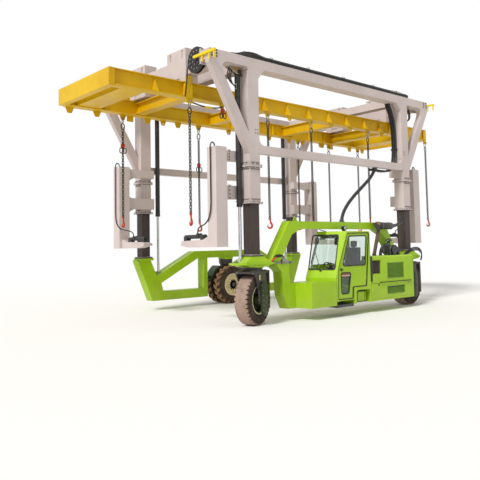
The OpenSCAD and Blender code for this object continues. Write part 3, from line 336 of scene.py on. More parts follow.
class Surface:
    """The node tree of a material or of the world, with its usual nodes. A colour is a written
    sRGB value or a socket, a grain's size is in millimetres, and `place` is the object's own
    coordinates."""

    def __init__(self, owner):
        owner.use_nodes = True
        self.owner, self.tree = owner, owner.node_tree
        self.tree.nodes.clear()

    @property
    def place(self):
        return self.node("TexCoord").outputs["Object"]

    def node(self, kind, inputs=None, **settings):
        """Adds a shader node with its settings, and sets or links its inputs by name or number."""
        made = self.tree.nodes.new("ShaderNode" + kind)
        for name, value in settings.items():
            setattr(made, name, value)
        for key, value in (inputs or {}).items():
            if isinstance(value, bpy.types.NodeSocket):
                self.tree.links.new(value, made.inputs[key])
            else:
                made.inputs[key].default_value = linear(value) if isinstance(value, str) else value
        return made

    def ramp(self, value, low, high, to_low=0.0, to_high=1.0, **settings):
        """The value between low and high, carried over to the range from to_low to to_high."""
        return self.node("MapRange", {"Value": value, "From Min": low, "From Max": high,
                                      "To Min": to_low, "To Max": to_high}, **settings).outputs[0]

    def work(self, operation, a, b):
        return self.node("Math", {0: a, 1: b}, operation=operation).outputs[0]

    def times(self, a, b):
        return self.work("MULTIPLY", a, b)

    def mix(self, mask, under, over):
        """The colour over, where the mask is 1, on the colour under."""
        return self.node("Mix", {0: mask, 6: under, 7: over}, data_type="RGBA").outputs[2]

    def height(self, place):
        return self.node("SeparateXYZ", {0: place}).outputs["Z"]

    def stretched(self, share):
        """Coordinates on which a pattern is drawn out up and down."""
        return self.node("Mapping", {"Vector": self.place, "Scale": (1.0, 1.0, share)}).outputs[0]

    def noise(self, size, detail, roughness=0.5, place=None):
        return self.node("TexNoise", {"Vector": place or self.place, "Scale": 1000 / size,
                                      "Detail": detail, "Roughness": roughness}).outputs[0]

    def speckle(self, size, low=0.35, high=0.65, place=None):
        """Noise of that grain as a mask: 0 below `low` and 1 above `high`."""
        return self.ramp(self.noise(size, 4.0, 0.6, place), low, high)

    def rounded(self, radius):
        """The normal of the face if its edges had that radius."""
        return self.node("Bevel", {"Radius": radius}, samples=4).outputs[0]

    def worn_edge(self, radius, size):
        """1 in broken patches where a rounded edge's normal leaves the face's own."""
        own = self.node("NewGeometry").outputs["True Normal"]
        same = self.node("VectorMath", {0: self.rounded(radius), 1: own}, operation="DOT_PRODUCT")
        edge = self.ramp(same.outputs["Value"], 0.97, 0.86)
        return self.times(edge, self.speckle(size, 0.42, 0.6))

    def seen(self):
        """1 for what the camera sees by itself, mirrored or through glass."""
        path = self.node("LightPath").outputs
        direct = self.work("MAXIMUM", path["Is Camera Ray"], path["Is Glossy Ray"])
        return self.work("MAXIMUM", direct, path["Is Transmission Ray"])

    def output(self, shader, kind="OutputMaterial"):
        """Joins the shader to the output and gives back the material or world."""
        self.tree.links.new(shader.outputs[0], self.node(kind).inputs["Surface"])
        return self.owner

    def done(self, colour, rough, bump=None, height=0.001, soft_edge=0.0, **fixed):
        """The surface itself. `fixed` holds what is the same all over, by socket name."""
        shader = self.node("BsdfPrincipled", {"Base Color": colour, "Roughness": rough})
        for socket, value in fixed.items():
            shader.inputs[socket.replace("_", " ")].default_value = value
        normal = {"Normal": self.rounded(soft_edge)} if soft_edge else {}
        if bump is not None:
            raised = self.node("Bump", {"Height": bump, "Distance": height, "Strength": 1.0,
                                        **normal})
            normal = {"Normal": raised.outputs[0]}
        for socket in normal.values():
            self.tree.links.new(socket, shader.inputs["Normal"])
        return self.output(shader)


def start(name):
    return Surface(bpy.data.materials.new(name))


def sprayed_enamel(name, colour, shade, dust="#B9A98A", grime=0.35, gloss=0.33, ground=0.9,
                   chips=0.5):
    """Two-pack enamel sprayed on welded steel plate. The eye sees a fine orange peel, panels
    that have weathered unevenly, pale dust on ledges and near the ground, and chipped edges."""
    s = start(name)
    streaks = s.times(s.speckle(70, 0.52, 0.8, s.stretched(0.09)), 0.22 * grime)
    weathered = s.mix(streaks, s.mix(s.speckle(900, 0.3, 0.72), colour, shade), dust)
    geometry = s.node("NewGeometry").outputs
    low = s.ramp(s.height(geometry["Position"]), ground, 0.0)
    ledge = s.ramp(s.height(geometry["True Normal"]), 0.6, 1.0, 0.0, 0.55)
    settled = s.times(s.work("MAXIMUM", low, ledge), s.speckle(160, 0.25, 0.75))
    dusty = s.times(settled, grime)
    worn = s.times(s.worn_edge(0.008, 90), chips)
    chipped = s.mix(worn, s.mix(dusty, weathered, dust), "#5A4A3C")
    return s.done(chipped, s.ramp(dusty, 0.0, 1.0, gloss, 0.8), s.noise(14, 2.0), 0.0006, 0.006,
                  Specular_IOR_Level=0.25, Coat_Weight=0.04, Coat_Roughness=0.15)


def mill_steel(name, colour, shade, rough=0.55, metal=0.35):
    """Rolled steel with its dark scale and a film of old grease: blotches that run up and down
    the mast, a dull sheen, and faint rub marks where the pads slide."""
    s = start(name)
    tall = s.stretched(0.15)
    blotched = s.mix(s.speckle(220, 0.3, 0.7, tall), colour, shade)
    rubbed = s.mix(s.times(s.speckle(26, 0.6, 0.8, tall), 0.35), blotched, "#8A8078")
    grain = s.noise(5, 3.0)
    return s.done(rubbed, s.ramp(grain, 0.0, 1.0, rough - 0.12, rough + 0.15), grain, 0.0004, 0.004,
                  Metallic=metal)


def hard_chrome(name):
    """Hard chrome on a ground steel rod: bright, with a faint oil film that breaks the gloss."""
    s = start(name)
    film = s.speckle(60, 0.3, 0.8)
    return s.done(s.mix(film, "#D9D9DC", "#B8B6B2"), s.ramp(film, 0.0, 1.0, 0.14, 0.34),
                  Metallic=1.0)


def gloss_black(name, colour="#17181A", rough=0.3, dusted=0.35):
    """Black enamel on a cylinder barrel or bracket: deep and glossy, greyed by road dust."""
    s = start(name)
    dusty = s.times(s.speckle(180, 0.4, 0.8), dusted)
    return s.done(s.mix(dusty, colour, "#5B554C"), s.ramp(dusty, 0.0, 1.0, rough, 0.9),
                  soft_edge=0.004)


def tyre_rubber(name, dust_share, crown_colour):
    """Carbon-black rubber, matt and scuffed. What rolls on the ground is rubbed tan with road
    dust; the grooves and sidewalls stay dark. `crown` is a mesh's own 0 to 1 value."""
    s = start(name)
    scuffed = s.mix(s.speckle(45, 0.35, 0.75), "#1E1A18", "#3E3733")
    walls = s.mix(s.times(s.speckle(260, 0.25, 0.75), dust_share), scuffed, "#8A7258")
    crown = s.node("Attribute", attribute_name="crown").outputs["Fac"]
    worn = s.mix(s.times(crown, s.speckle(200, 0.05, 0.45)), walls, crown_colour)
    return s.done(worn, 0.88, s.noise(4, 4.0), Specular_IOR_Level=0.3)


def hose_rubber(name):
    """Smooth nitrile hose cover: near black, soft sheen, a little dust on it."""
    s = start(name)
    return s.done(s.mix(s.times(s.speckle(70, 0.4, 0.8), 0.4), "#141414", "#4A433B"), 0.5)


def safety_glass(name):
    """Clear float glass with a green edge tint: it lets the light through and mirrors it."""
    s = start(name)
    return s.done("#EAF3EE", s.ramp(s.speckle(240, 0.35, 0.8), 0.0, 1.0, 0.0, 0.05),
                  Transmission_Weight=1.0, IOR=1.45)


def forged_steel(name):
    """Forged and quenched chain steel: dark oxide, brighter where the links rub."""
    s = start(name)
    return s.done(s.mix(s.speckle(30, 0.35, 0.7), "#4C4541", "#2B2725"), 0.48, s.noise(3, 3.0),
                  0.0004, Metallic=0.55)


def lamp_glass(name, ridge="#E6EAE8", groove="#B9C2C2"):
    """Pressed lamp glass: pale and glossy, with fine ribs that spread the light."""
    s = start(name)
    ribs = s.node("TexWave", {"Vector": s.place, "Scale": 1000 / 14, "Distortion": 0.0},
                  bands_direction="X").outputs["Fac"]
    return s.done(s.mix(ribs, ridge, groove), 0.12, ribs, 0.0008, 0.2)


def sun_strip(name):
    """Tan film along the top of a pane: brown above a paler woven band."""
    s = start(name)
    pale = s.ramp(s.height(s.place), 1.012, 1.004)
    return s.done(s.mix(pale, "#8A5F3C", "#D8C0A0"), 0.6, s.noise(6, 2.0), 0.0005)


def seat_vinyl(name):
    """Black seat vinyl with a pebbled grain."""
    s = start(name)
    pebble = s.node("TexVoronoi", {"Vector": s.place, "Scale": 1000 / 9}).outputs["Distance"]
    return s.done(s.mix(s.speckle(120), "#1B1B1C", "#2C2B2B"), 0.55, pebble, 0.0008, 0.02)


LIME = sprayed_enamel("lime_enamel_on_plate", "#A2C818", "#92B814", dust="#C2B878")
# Dark green: the right mudguards' own paint, and painted shade on the plate at the back of the
# storage box's recess
GREEN = sprayed_enamel("dark_green_enamel_and_recess_shade", "#2B5426", "#22441C", dust="#8D8A62")
WHEEL_GREEN = sprayed_enamel("sooty_green_wheel_enamel", "#26381C", "#1D2A16", dust="#6E6648")
GRILLE = sprayed_enamel("mid_green_grille_enamel", "#7FA836", "#6F9830", dust="#A8A66C", grime=0.2)
WHITE = sprayed_enamel("off_white_enamel", "#CDC0BC", "#BFB1AC", dust="#A8906C", gloss=0.4)
YELLOW = sprayed_enamel("yellow_enamel", "#DCB600", "#CA9A00", dust="#B8923C", grime=0.25,
                        gloss=0.45)
CREAM = sprayed_enamel("cream_wheel_enamel", "#F8EBC4", "#EEDCAC", dust="#D8BE90", grime=0.2,
                       ground=0.2)
LAMP_YELLOW = sprayed_enamel("bright_yellow_enamel", "#F2D20C", "#E8C60C", grime=0.1)
HOOK_ORANGE = sprayed_enamel("orange_hook_enamel", "#D2421A", "#B83A1A", grime=0.2, chips=0.9)
FORK = sprayed_enamel("dark_grey_fork_paint", "#4A4242", "#3B3535", dust="#8E7C66", grime=0.5)
# Khaki: the heat guard's own primer, and on the clevis sheets dirt together with painted shade
KHAKI = sprayed_enamel("khaki_dirt_and_painted_shade", "#9A8052", "#86693C", dust="#6E5836", grime=0.5)
MAST = mill_steel("greased_mast_steel", "#3C3230", "#4A3F3B")
CAST = mill_steel("engine_cast_iron", "#55585A", "#44484A", 0.6, 0.4)
ZINC = mill_steel("zinc_plated_fastenings", "#A9A69F", "#8C8880", 0.42, 0.7)
FIN = mill_steel("dusty_aluminium_fins", "#6E625F", "#57504E", 0.6, 0.3)
RUST = mill_steel("heat_browned_exhaust", "#6B5348", "#4B3A33", 0.7, 0.2)
GREASY = mill_steel("greasy_hub_steel", "#3A3634", "#5A544E", 0.5, 0.4)
CHROME = hard_chrome("hard_chrome_rod")
BLACK = gloss_black("black_barrel_enamel")
REEL_BLACK = gloss_black("black_reel_enamel", "#08080A", 0.42, 0.12)
TYRE = tyre_rubber("worn_tyre_rubber", 0.22, "#A08778")
LUG_TYRE = tyre_rubber("lug_tyre_rubber", 0.3, "#9C7A58")
HOSE = hose_rubber("nitrile_hose_cover")
# Black rubber for the seals, latches, bellows and ties, and for the painted shadow strip along the
# hood's lower edge
RUBBER = hose_rubber("black_rubber_and_painted_shadow")
GLASS = safety_glass("cab_safety_glass")
LENS = lamp_glass("clear_lamp_lens")
REFLECTOR = lamp_glass("pale_yellow_reflector", "#F6F0B0", "#E2D880")
CHAIN = forged_steel("quenched_chain_steel")
VINYL = seat_vinyl("pebbled_seat_vinyl")
TAN = sun_strip("tan_sun_strip")

for finish, names in (
        (LIME, "chassis_left decks_left arch_left chassis_right cab_shell cab_door storage_box "
               "engine_housing"),
        (WHITE, "top_beams lower_beams sleeves braces cross_beams legs foot_arms trolleys"),
        (YELLOW, "lugs spreader_beams spreader_cross"), (LAMP_YELLOW, "lamp_brackets"),
        (FORK, "fork_front_left fork_rear_left knuckle_right"), (HOOK_ORANGE, "hooks"),
        (BLACK, "muffler air_cleaner work_lamp lift_barrels foot_gear"), (REEL_BLACK, "reel"),
        (TYRE, "tyre_front_left tyre_rear_left"), (LUG_TYRE, "tyres_right"),
        (WHEEL_GREEN, "rim_front_left rim_rear_left"), (CREAM, "rims_right"),
        (GREEN, "mudguards_right"), (GRILLE, "grilles"), (VINYL, "cab_inside"),
        (CAST, "step engine_block cooler"), (GLASS, "cab_glass door_glass"), (MAST, "masts"),
        (CHROME, "lift_rods"), (HOSE, "umbilical frame_hoses"), (CHAIN, "chains")):
    for name in names.split():
        nodes[name].data.materials.clear()
        nodes[name].data.materials.append(finish)


# Hanging hoses: one between the arch and the lift frame, one from the reel to the spreader

UMBILICAL = [(-0.12, 2.22, 2.355), (-0.12, 2.222, 2.64), (-0.42, 2.226, 2.98),
             (-0.98, 2.232, 3.3), (-1.5, 2.238, 3.56), (-1.62, 2.24, 3.894)]


def make_umbilical():
    """Corrugated conduit: radius 43 mm plus 2 mm times the cosine of the way along it, one wave
    each 30 mm, with a flanged cuff at each end."""
    steps = 520
    path = bezier(UMBILICAL, steps)
    way = way_along(path)
    even = np.linspace(0, way[-1], steps)
    path = np.stack([np.interp(even, way, path[:, k]) for k in range(3)], -1)
    radius = 0.043 + 0.002 * np.cos(even / 0.03 * 2 * math.pi)
    conduit = add("corrugated_umbilical", tube(path, radius, 16), HOSE)
    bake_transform(conduit)
    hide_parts("umbilical")
    foot = revolved([(0.047, 0.0), (0.075, 0.0), (0.075, 0.016), (0.056, 0.018), (0.054, 0.075),
                     (0.047, 0.075)], 28, UMBILICAL[0], "z")
    add("umbilical_foot_flange", foot, CAST, "chassis")
    head = revolved([(0.047, -0.075), (0.054, -0.075), (0.056, -0.018), (0.078, -0.016),
                     (0.078, 0.0), (0.047, 0.0)], 28, UMBILICAL[-1], "z")
    add("umbilical_head_flange", head, CAST, "lift_frame")


REEL_HOSE = [(4.134, 1.372, 6.03), (4.18, 1.325, 5.88), (4.215, 1.345, 5.7),
             (4.235, 1.42, 5.5), (4.215, 1.3, 5.38), (4.19, 1.262, 5.24)]


def make_reel_hose():
    """The hose that leaves the reel's drum and hangs down to the spreader's hanger plate."""
    path = bezier(REEL_HOSE, 41)
    piece = add("reel_hose", tube(path, 0.016, 12), HOSE)
    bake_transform(piece)


# Chains, shackles and hooks. Each chain has its x, its beam (1 left, -1 right) and its hook's foot.

HANG = [(4.03, 1, 2.26), (1.51, 1, 2.2), (-0.16, 1, 2.2), (-2.73, 1, 2.25),
        (-5.925, 1, 2.3), (4.31, -1, 2.3), (1.83, -1, 2.2), (-2.33, -1, 2.25),
        (-3.89, -1, 2.3), (-5.52, -1, 2.2)]
LINK_WIRE, LINK_PITCH = 0.0115, 0.07
HOOK_EYE = 0.262


def link(pitch, radius, half_width, around=12, sides=6):
    """A chain link: a wire bent to an oval whose straight sides join two half circles."""
    turn = circle(around)
    straight = pitch / 2 + radius - half_width
    out = np.stack([np.cos(turn), 0 * turn, np.sin(turn)], -1)
    path = half_width * out + np.sign(np.sin(turn))[:, None] * [0, 0, straight]
    return wire(path, out, (0, 1, 0), radius, radius, sides)


def make_chains():
    """Each chain: links a pitch apart, each turned a quarter from the last and a little more or
    less, under a pear-shaped ring in a bow shackle whose pin goes through the lug."""
    links, lugs = [], np.array([(x, CHAIN_Y[side], PIN_Z) for x, side, _ in HANG])
    for x, side, foot in HANG:
        top, bottom = PIN_Z - 0.3, foot + HOOK_EYE - 0.006
        number = np.arange(int(round((top - bottom) / LINK_PITCH)) | 1)
        z = top - (number + 0.5) * (top - bottom) / len(number)
        turns = about_z(number % 2 * math.pi / 2 + 0.035 * np.sin(0.9 * number + x))
        places = np.stack([0 * z + x, 0 * z + CHAIN_Y[side], z], -1)
        links.append(copies(link(LINK_PITCH, LINK_WIRE, 0.0265), places, turns))
    bend = np.linspace(-0.35, math.pi + 0.35, 22)
    bow = np.stack([0 * bend, 0.036 * np.cos(bend) * (1 + 0.25 * np.sin(bend).clip(0)),
                    -0.085 - 0.045 * np.sin(bend)], -1)
    bow = np.concatenate([[(0, 0.032, 0.02)], bow, [(0, -0.032, 0.02)]])
    pin = revolved([(0.0, -0.062), (0.024, -0.062), (0.024, -0.045), (0.0165, -0.044),
                    (0.0165, 0.044), (0.026, 0.045), (0.026, 0.066), (0.0, 0.066)], 16)
    piece = add("sling_chains", links, CHAIN, "spreader")
    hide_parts("chains")
    add("chain_head_rings", copies(link(0.115, 0.014, 0.05, 20, 8), lugs - [0, 0, 0.222]), CHAIN,
        "spreader")
    add("bow_shackles", copies(tube(bow, 0.0125, 8), lugs), ZINC, "spreader")
    add("shackle_pins", copies(pin, lugs), ZINC, "spreader")


def make_hooks():
    """Eye hooks: a round bar swept from the eye down the back and round the bowl to its point,
    thickest in the bowl, with a flattened eye above and a latch over the mouth. The bar's places
    are given as x, z and radius."""
    bar = np.array([(0.0, 0.246, 0.019), (-0.01, 0.215, 0.021), (-0.018, 0.175, 0.023),
                    (-0.038, 0.14, 0.025), (-0.055, 0.098, 0.026), (-0.048, 0.052, 0.027),
                    (-0.018, 0.024, 0.026), (0.02, 0.022, 0.024), (0.05, 0.046, 0.02),
                    (0.06, 0.08, 0.014), (0.054, 0.104, 0.006)])
    fine = np.linspace(0, 10, 31)
    x, z, radius = (np.interp(fine, range(11), column) for column in bar.T)
    path = np.stack([x, 0 * x, z], -1)
    path[1:-1] = (path[:-2] + 2 * path[1:-1] + path[2:]) / 4
    turn = circle(24)
    out = np.stack([np.cos(turn), 0 * turn, np.sin(turn)], -1)
    eye = wire(0.0275 * out + [0, 0, HOOK_EYE], out, (0, 1, 0), 0.0105, 0.017, 8)
    latch = tube([(-0.012, 0, 0.15), (0.02, 0, 0.128), (0.05, 0, 0.106)], 0.005, 6)
    places = [(x, CHAIN_Y[side], z) for x, side, z in HANG]
    turns = about_z(np.array([0.5, -0.7, 0.2, 0.9, -0.3, 0.6, -0.9, 0.1, 0.8, -0.4]))
    piece = add("forged_sling_hooks", copies(joined([tube(path, radius, 10), eye]), places, turns),
                HOOK_ORANGE, "spreader")
    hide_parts("hooks")
    add("hook_latches", copies(latch, places, turns), ZINC, "spreader")


# Tyres and wheels

def step(value, low, high):
    return np.clip((value - low) / (high - low), 0, 1)


def tyre(outer, half, rim, relief, columns):
    """A tyre's section turned about its axle. The section runs from bead to bead over a bulged
    sidewall and a flat crown; `relief` takes a depth off the crown by angle and by the place
    across it, from -1 to 1."""
    across, down = np.linspace(-1, 1, 41), np.linspace(0, 1, 13)[1:]
    high = outer - 0.01 * across ** 2 - 0.045 * step(np.abs(across), 0.86, 1.0) ** 2
    side_high = outer - 0.055 - (outer - 0.055 - rim) * down
    side_wide = (half * (0.94 + 0.06 * np.sin(math.pi * np.clip(down * 1.15, 0, 1)))
                 - half * 0.16 * step(down, 0.7, 1.0) ** 2
                 + 0.006 * ((down > 0.18) & (down < 0.26)) + 0.007 * (down > 0.86))
    radius = np.concatenate([side_high[::-1], high, side_high, [rim - 0.004]])
    axial = np.concatenate([-side_wide[::-1], half * 0.94 * across, side_wide, [0.0]])
    zone = np.concatenate([-1 - down[::-1], across, 1 + down, [9.0]])
    turn = circle(columns)[:, None] + math.pi
    cut = relief(turn, zone[None, :])
    points = np.stack([(radius - cut) * np.sin(turn), axial * (1 - 0.25 * cut / half),
                       (radius - cut) * np.cos(turn)], -1)
    points, faces = skin(points, close=True)
    return points, faces[:, ::-1]


def mark_crown(piece, centre, outer, steer=0.0):
    """Gives the mesh its `crown` value: 1 within a few millimetres of the tyre's full radius,
    measured from its axle, falling to 0 on groove floors and sidewalls."""
    points = np.empty(len(piece.data.vertices) * 3)
    piece.data.vertices.foreach_get("co", points)
    points = points.reshape(-1, 3) - centre
    ahead = (points[:, :2] * (math.cos(steer), math.sin(steer))).sum(1)
    value = step(np.hypot(ahead, points[:, 2]), outer - 0.034, outer - 0.014)
    piece.data.attributes.new("crown", "FLOAT", "POINT").data.foreach_set("value", value)


def notched_tread(depth, crown_depth, count):
    """Each pitch has one narrow notch that is deep where it opens at the shoulder and ends short
    of the crown's middle; the two sides are half a pitch apart."""
    def relief(turn, zone):
        pitch = turn / (2 * math.pi) * count + 0.5 * (zone > 0)
        notch = 1 - step(np.abs((pitch % 1) - 0.5) * 2, 0.2, 0.3)
        away = np.abs(zone)
        deep = depth * step(away, 0.7, 0.76) + crown_depth * step(away, 0.2, 0.3)
        return notch * deep * (1 - step(away, 1.1, 1.2))
    return relief


def lug_tread(depth, count):
    """Two rows of slanted bars that reach past the middle in turn, with wide grooves between."""
    def relief(turn, zone):
        away = np.abs(zone)
        pitch = turn / (2 * math.pi) * count + 0.5 * (zone > 0) + 0.42 * np.clip(away, 0, 1)
        groove = 1 - step(np.abs((pitch % 1) - 0.5) * 2, 0.4, 0.54)
        return groove * depth * step(away, 0.03, 0.09) * (1 - step(away, 1.2, 1.34))
    return relief


def rim_lips(profile):
    """The rolled lips of both edges of a rim."""
    return joined([revolved([(r, side * y) for r, y in profile][::side], 72) for side in (1, -1)])


def make_left_wheels():
    for name, x, steer, count, tread in (("front", COL, PARKED, 34, notched_tread(0.04, 0.002, 34)),
                                         ("rear", -COL, 0.0, 30, notched_tread(0.036, 0.024, 30))):
        centre, body = (x, Y_LEFT, LEFT_WHEEL), f"wheel_{name}_left"
        shape = tyre(LEFT_WHEEL, 0.185, 0.302, tread, count * 16)
        piece = add(f"worn_tyre_{name}", spun(shape, centre, steer), TYRE, body)
        mark_crown(piece, centre, LEFT_WHEEL, steer)
        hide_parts(f"tyre_{name}_left")
        lips = rim_lips([(0.296, 0.152), (0.322, 0.158), (0.326, 0.17), (0.31, 0.172),
                         (0.288, 0.158)])
        add(f"rim_lips_{name}", spun(lips, centre, steer), CREAM, body)
        nuts = joined([bolt_ring(0.096, 10, 0.011, 0.016, (0, 0.186 * side, 0), side)
                       for side in (1, -1)])
        add(f"hub_nuts_{name}", spun(nuts, centre, steer), ZINC, body)


def make_twin_wheel():
    """Two lugged tyres on dished wheels, each with a toothed spider, nuts and a hub cap that look
    away from the other wheel."""
    dish = revolved([(0.292, 0.09), (0.27, 0.07), (0.215, 0.046), (0.165, 0.062), (0.15, 0.12),
                     (0.122, 0.14), (0.122, 0.13), (0.14, 0.11), (0.16, 0.036), (0.292, 0.036)], 60)
    around = circle(120)
    reach = 0.128 + 0.034 * step(np.cos(around * 12), 0.1, 0.45)
    star = np.stack([reach * np.cos(around), reach * np.sin(around)], -1)
    spider = plate(star, 0.022, at_y(0.128), 0.004)
    nuts = bolt_ring(0.143, 12, 0.013, 0.018, (0, 0.15, 0))
    cap = revolved([(0.0, 0.152), (0.06, 0.152), (0.072, 0.158), (0.066, 0.186), (0.045, 0.2),
                    (0.0, 0.204)], 32)
    lips = rim_lips([(0.3, 0.118), (0.336, 0.128), (0.34, 0.14), (0.318, 0.142), (0.296, 0.126)])
    shape = tyre(TWIN_WHEEL, 0.15, 0.322, lug_tread(0.034, 18), 18 * 16)

    def both(part, mirrored=True):
        return [spun((part[0] * (1, -side if mirrored else 1, 1), part[1]),
                     (0.0, Y_RIGHT - side * 0.21, TWIN_WHEEL)) for side in (1, -1)]
    piece = add("twin_lug_tyres", both(shape, mirrored=False), LUG_TYRE, "wheel_right")
    mark_crown(piece, (0.0, Y_RIGHT, TWIN_WHEEL), TWIN_WHEEL)
    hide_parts("tyres_right")
    add("twin_rim_lips", both(lips, mirrored=False), CREAM, "wheel_right")
    add("twin_wheel_dishes", both(dish), CREAM, "wheel_right")
    add("twin_wheel_nuts", both(nuts), GREASY, "wheel_right")
    add("twin_hub_caps", both(cap), GREASY, "wheel_right")
    add("twin_hub_spiders", both(spider), GREASY, "wheel_right", smooth=False)


# Fastenings

def square_ring(offset, steps, centre, z):
    """Places on the sides of a square of that half width, at these steps along each side, and at
    its corners, all at one height."""
    sides = [(offset, t) for t in steps] + [(-offset, t) for t in steps]
    sides += [(t, offset) for t in steps] + [(t, -offset) for t in steps]
    sides += [(i * offset, j * offset) for i in (-1, 1) for j in (-1, 1)]
    return [(centre[0] + i, centre[1] + j, z) for i, j in sides]


def make_fastenings():
    """Screw heads of the sleeve collars, mast feet, slewing rings, leg flanges and end plates."""
    collar, feet, ends, strips, rings, plates = [], [], [], [], [], []
    row = np.linspace(-0.12, 0.12, 5)
    for x, y in [(x, y) for x in (COL, -COL) for y in (Y_LEFT, Y_RIGHT)]:
        ahead, out = math.copysign(1, x), math.copysign(1, y)
        outwards = (0, out, 0)
        for z, up in ((2.763, 1), (2.74, -1), (3.624, 1), (3.576, -1)):
            ring = square_ring(0.179, (-0.095, -0.045, 0.045, 0.095), (x, y), z)
            collar.append(heads(ring, (0, 0, up), 0.015, 0.016))
        for z in (2.835, 3.525, 3.675):
            collar += [heads(grid(x + row, y + out * 0.1605, z), outwards, 0.017, 0.012),
                       heads(grid(x + ahead * 0.1605, y + row, z), (ahead, 0, 0), 0.017, 0.012)]
        feet.append(heads(square_ring(0.162, np.linspace(-0.125, 0.125, 6), (x, y),
                                      MAST_FEET[y] + 0.024), (0, 0, 1), 0.016, 0.024))
        flange = grid(x + ahead * 0.639, y - out * 0.342, (2.86, 3.00, 3.14, 3.73, 3.83, 3.94))
        flange += grid(x + ahead * 0.639, y - out * np.array([0.19, 0.25, 0.31]), (3.165, 3.965))
        collar.append(heads(flange, (-ahead, 0, 0), 0.014, 0.012))
        for low, high in ((2.83, 3.17), (3.7, 3.972)):
            strips.append(box_mesh((x + ahead * 0.455, y - out * 0.1595, low),
                                   (x + ahead * 0.54, y - out * 0.1495, high)))
            holes = grid(x + ahead * 0.5, y - out * 0.1495, np.linspace(low + 0.04, high - 0.04, 4))
            collar.append(heads(holes, outwards, 0.019, 0.008))
        brace = grid(x + ahead * np.array([-0.11, -0.04]), y + out * 0.16, (4.36, 4.44))
        collar.append(heads(brace, outwards, 0.013, 0.01))
        end = grid(ahead * np.array([4.107, 4.24]), y + out * 0.16, (5.94, 6.005, 6.07))
        ends.append(heads(end, outwards, 0.021, 0.013))
    for ahead in (1, -1):
        for y, out in ((2.000, 1), (-2.24, -1)):
            beam = grid(ahead * np.linspace(3.8, 4.25, 6), y, 6.13)
            beam += grid(ahead * np.linspace(3.8, 4.07, 4), y, 5.838)
            collar.append(heads(beam, (0, out, 0), 0.013, 0.01))
        for y, out in ((1.259, 1), (-1.389, -1)):
            hanger = grid(ahead * np.array([4.005, 4.065, 4.125]), y, (5.575, 5.64, 5.705))
            hanger += grid(ahead * np.array([4.01, 4.12]), y, 5.15)
            plates.append(heads(hanger, (0, out, 0), 0.015, 0.012))
        turn = circle(24)
        ring = np.stack([ahead * COL + 0.253 * np.cos(turn), Y_LEFT + 0.253 * np.sin(turn),
                         0 * turn + 1.3], -1)
        rings.append(heads(ring, (0, 0, -1), 0.012, 0.013))
    add("collar_and_flange_screws", collar, GREASY, "lift_frame")
    add("leg_flange_strips", strips, WHITE, "lift_frame", smooth=False)
    add("mast_foot_screws", feet, ZINC, "chassis")
    add("top_beam_end_bolts", ends, BLACK, "lift_frame")
    add("slewing_ring_screws", rings, ZINC, "chassis")
    add("hanger_plate_screws", plates, ZINC, "spreader")


# Rubber seals and the cab's fittings

SEAL = [(-0.014, -0.003), (0.016, -0.001), (0.017, 0.003), (0.01, 0.008), (-0.004, 0.009),
        (-0.012, 0.005)]


def on_windscreen(along, z, up):
    """Places on the cab's front wall: `along` runs from its outer end, negative inwards."""
    turn = math.atan(0.26 / 0.75)
    out = -0.385 * (z - 0.96) + up * 0.933
    return np.stack([0.83 + out * math.cos(turn) - along * math.sin(turn),
                     2.76 + out * math.sin(turn) + along * math.cos(turn), z + up * 0.359], -1)


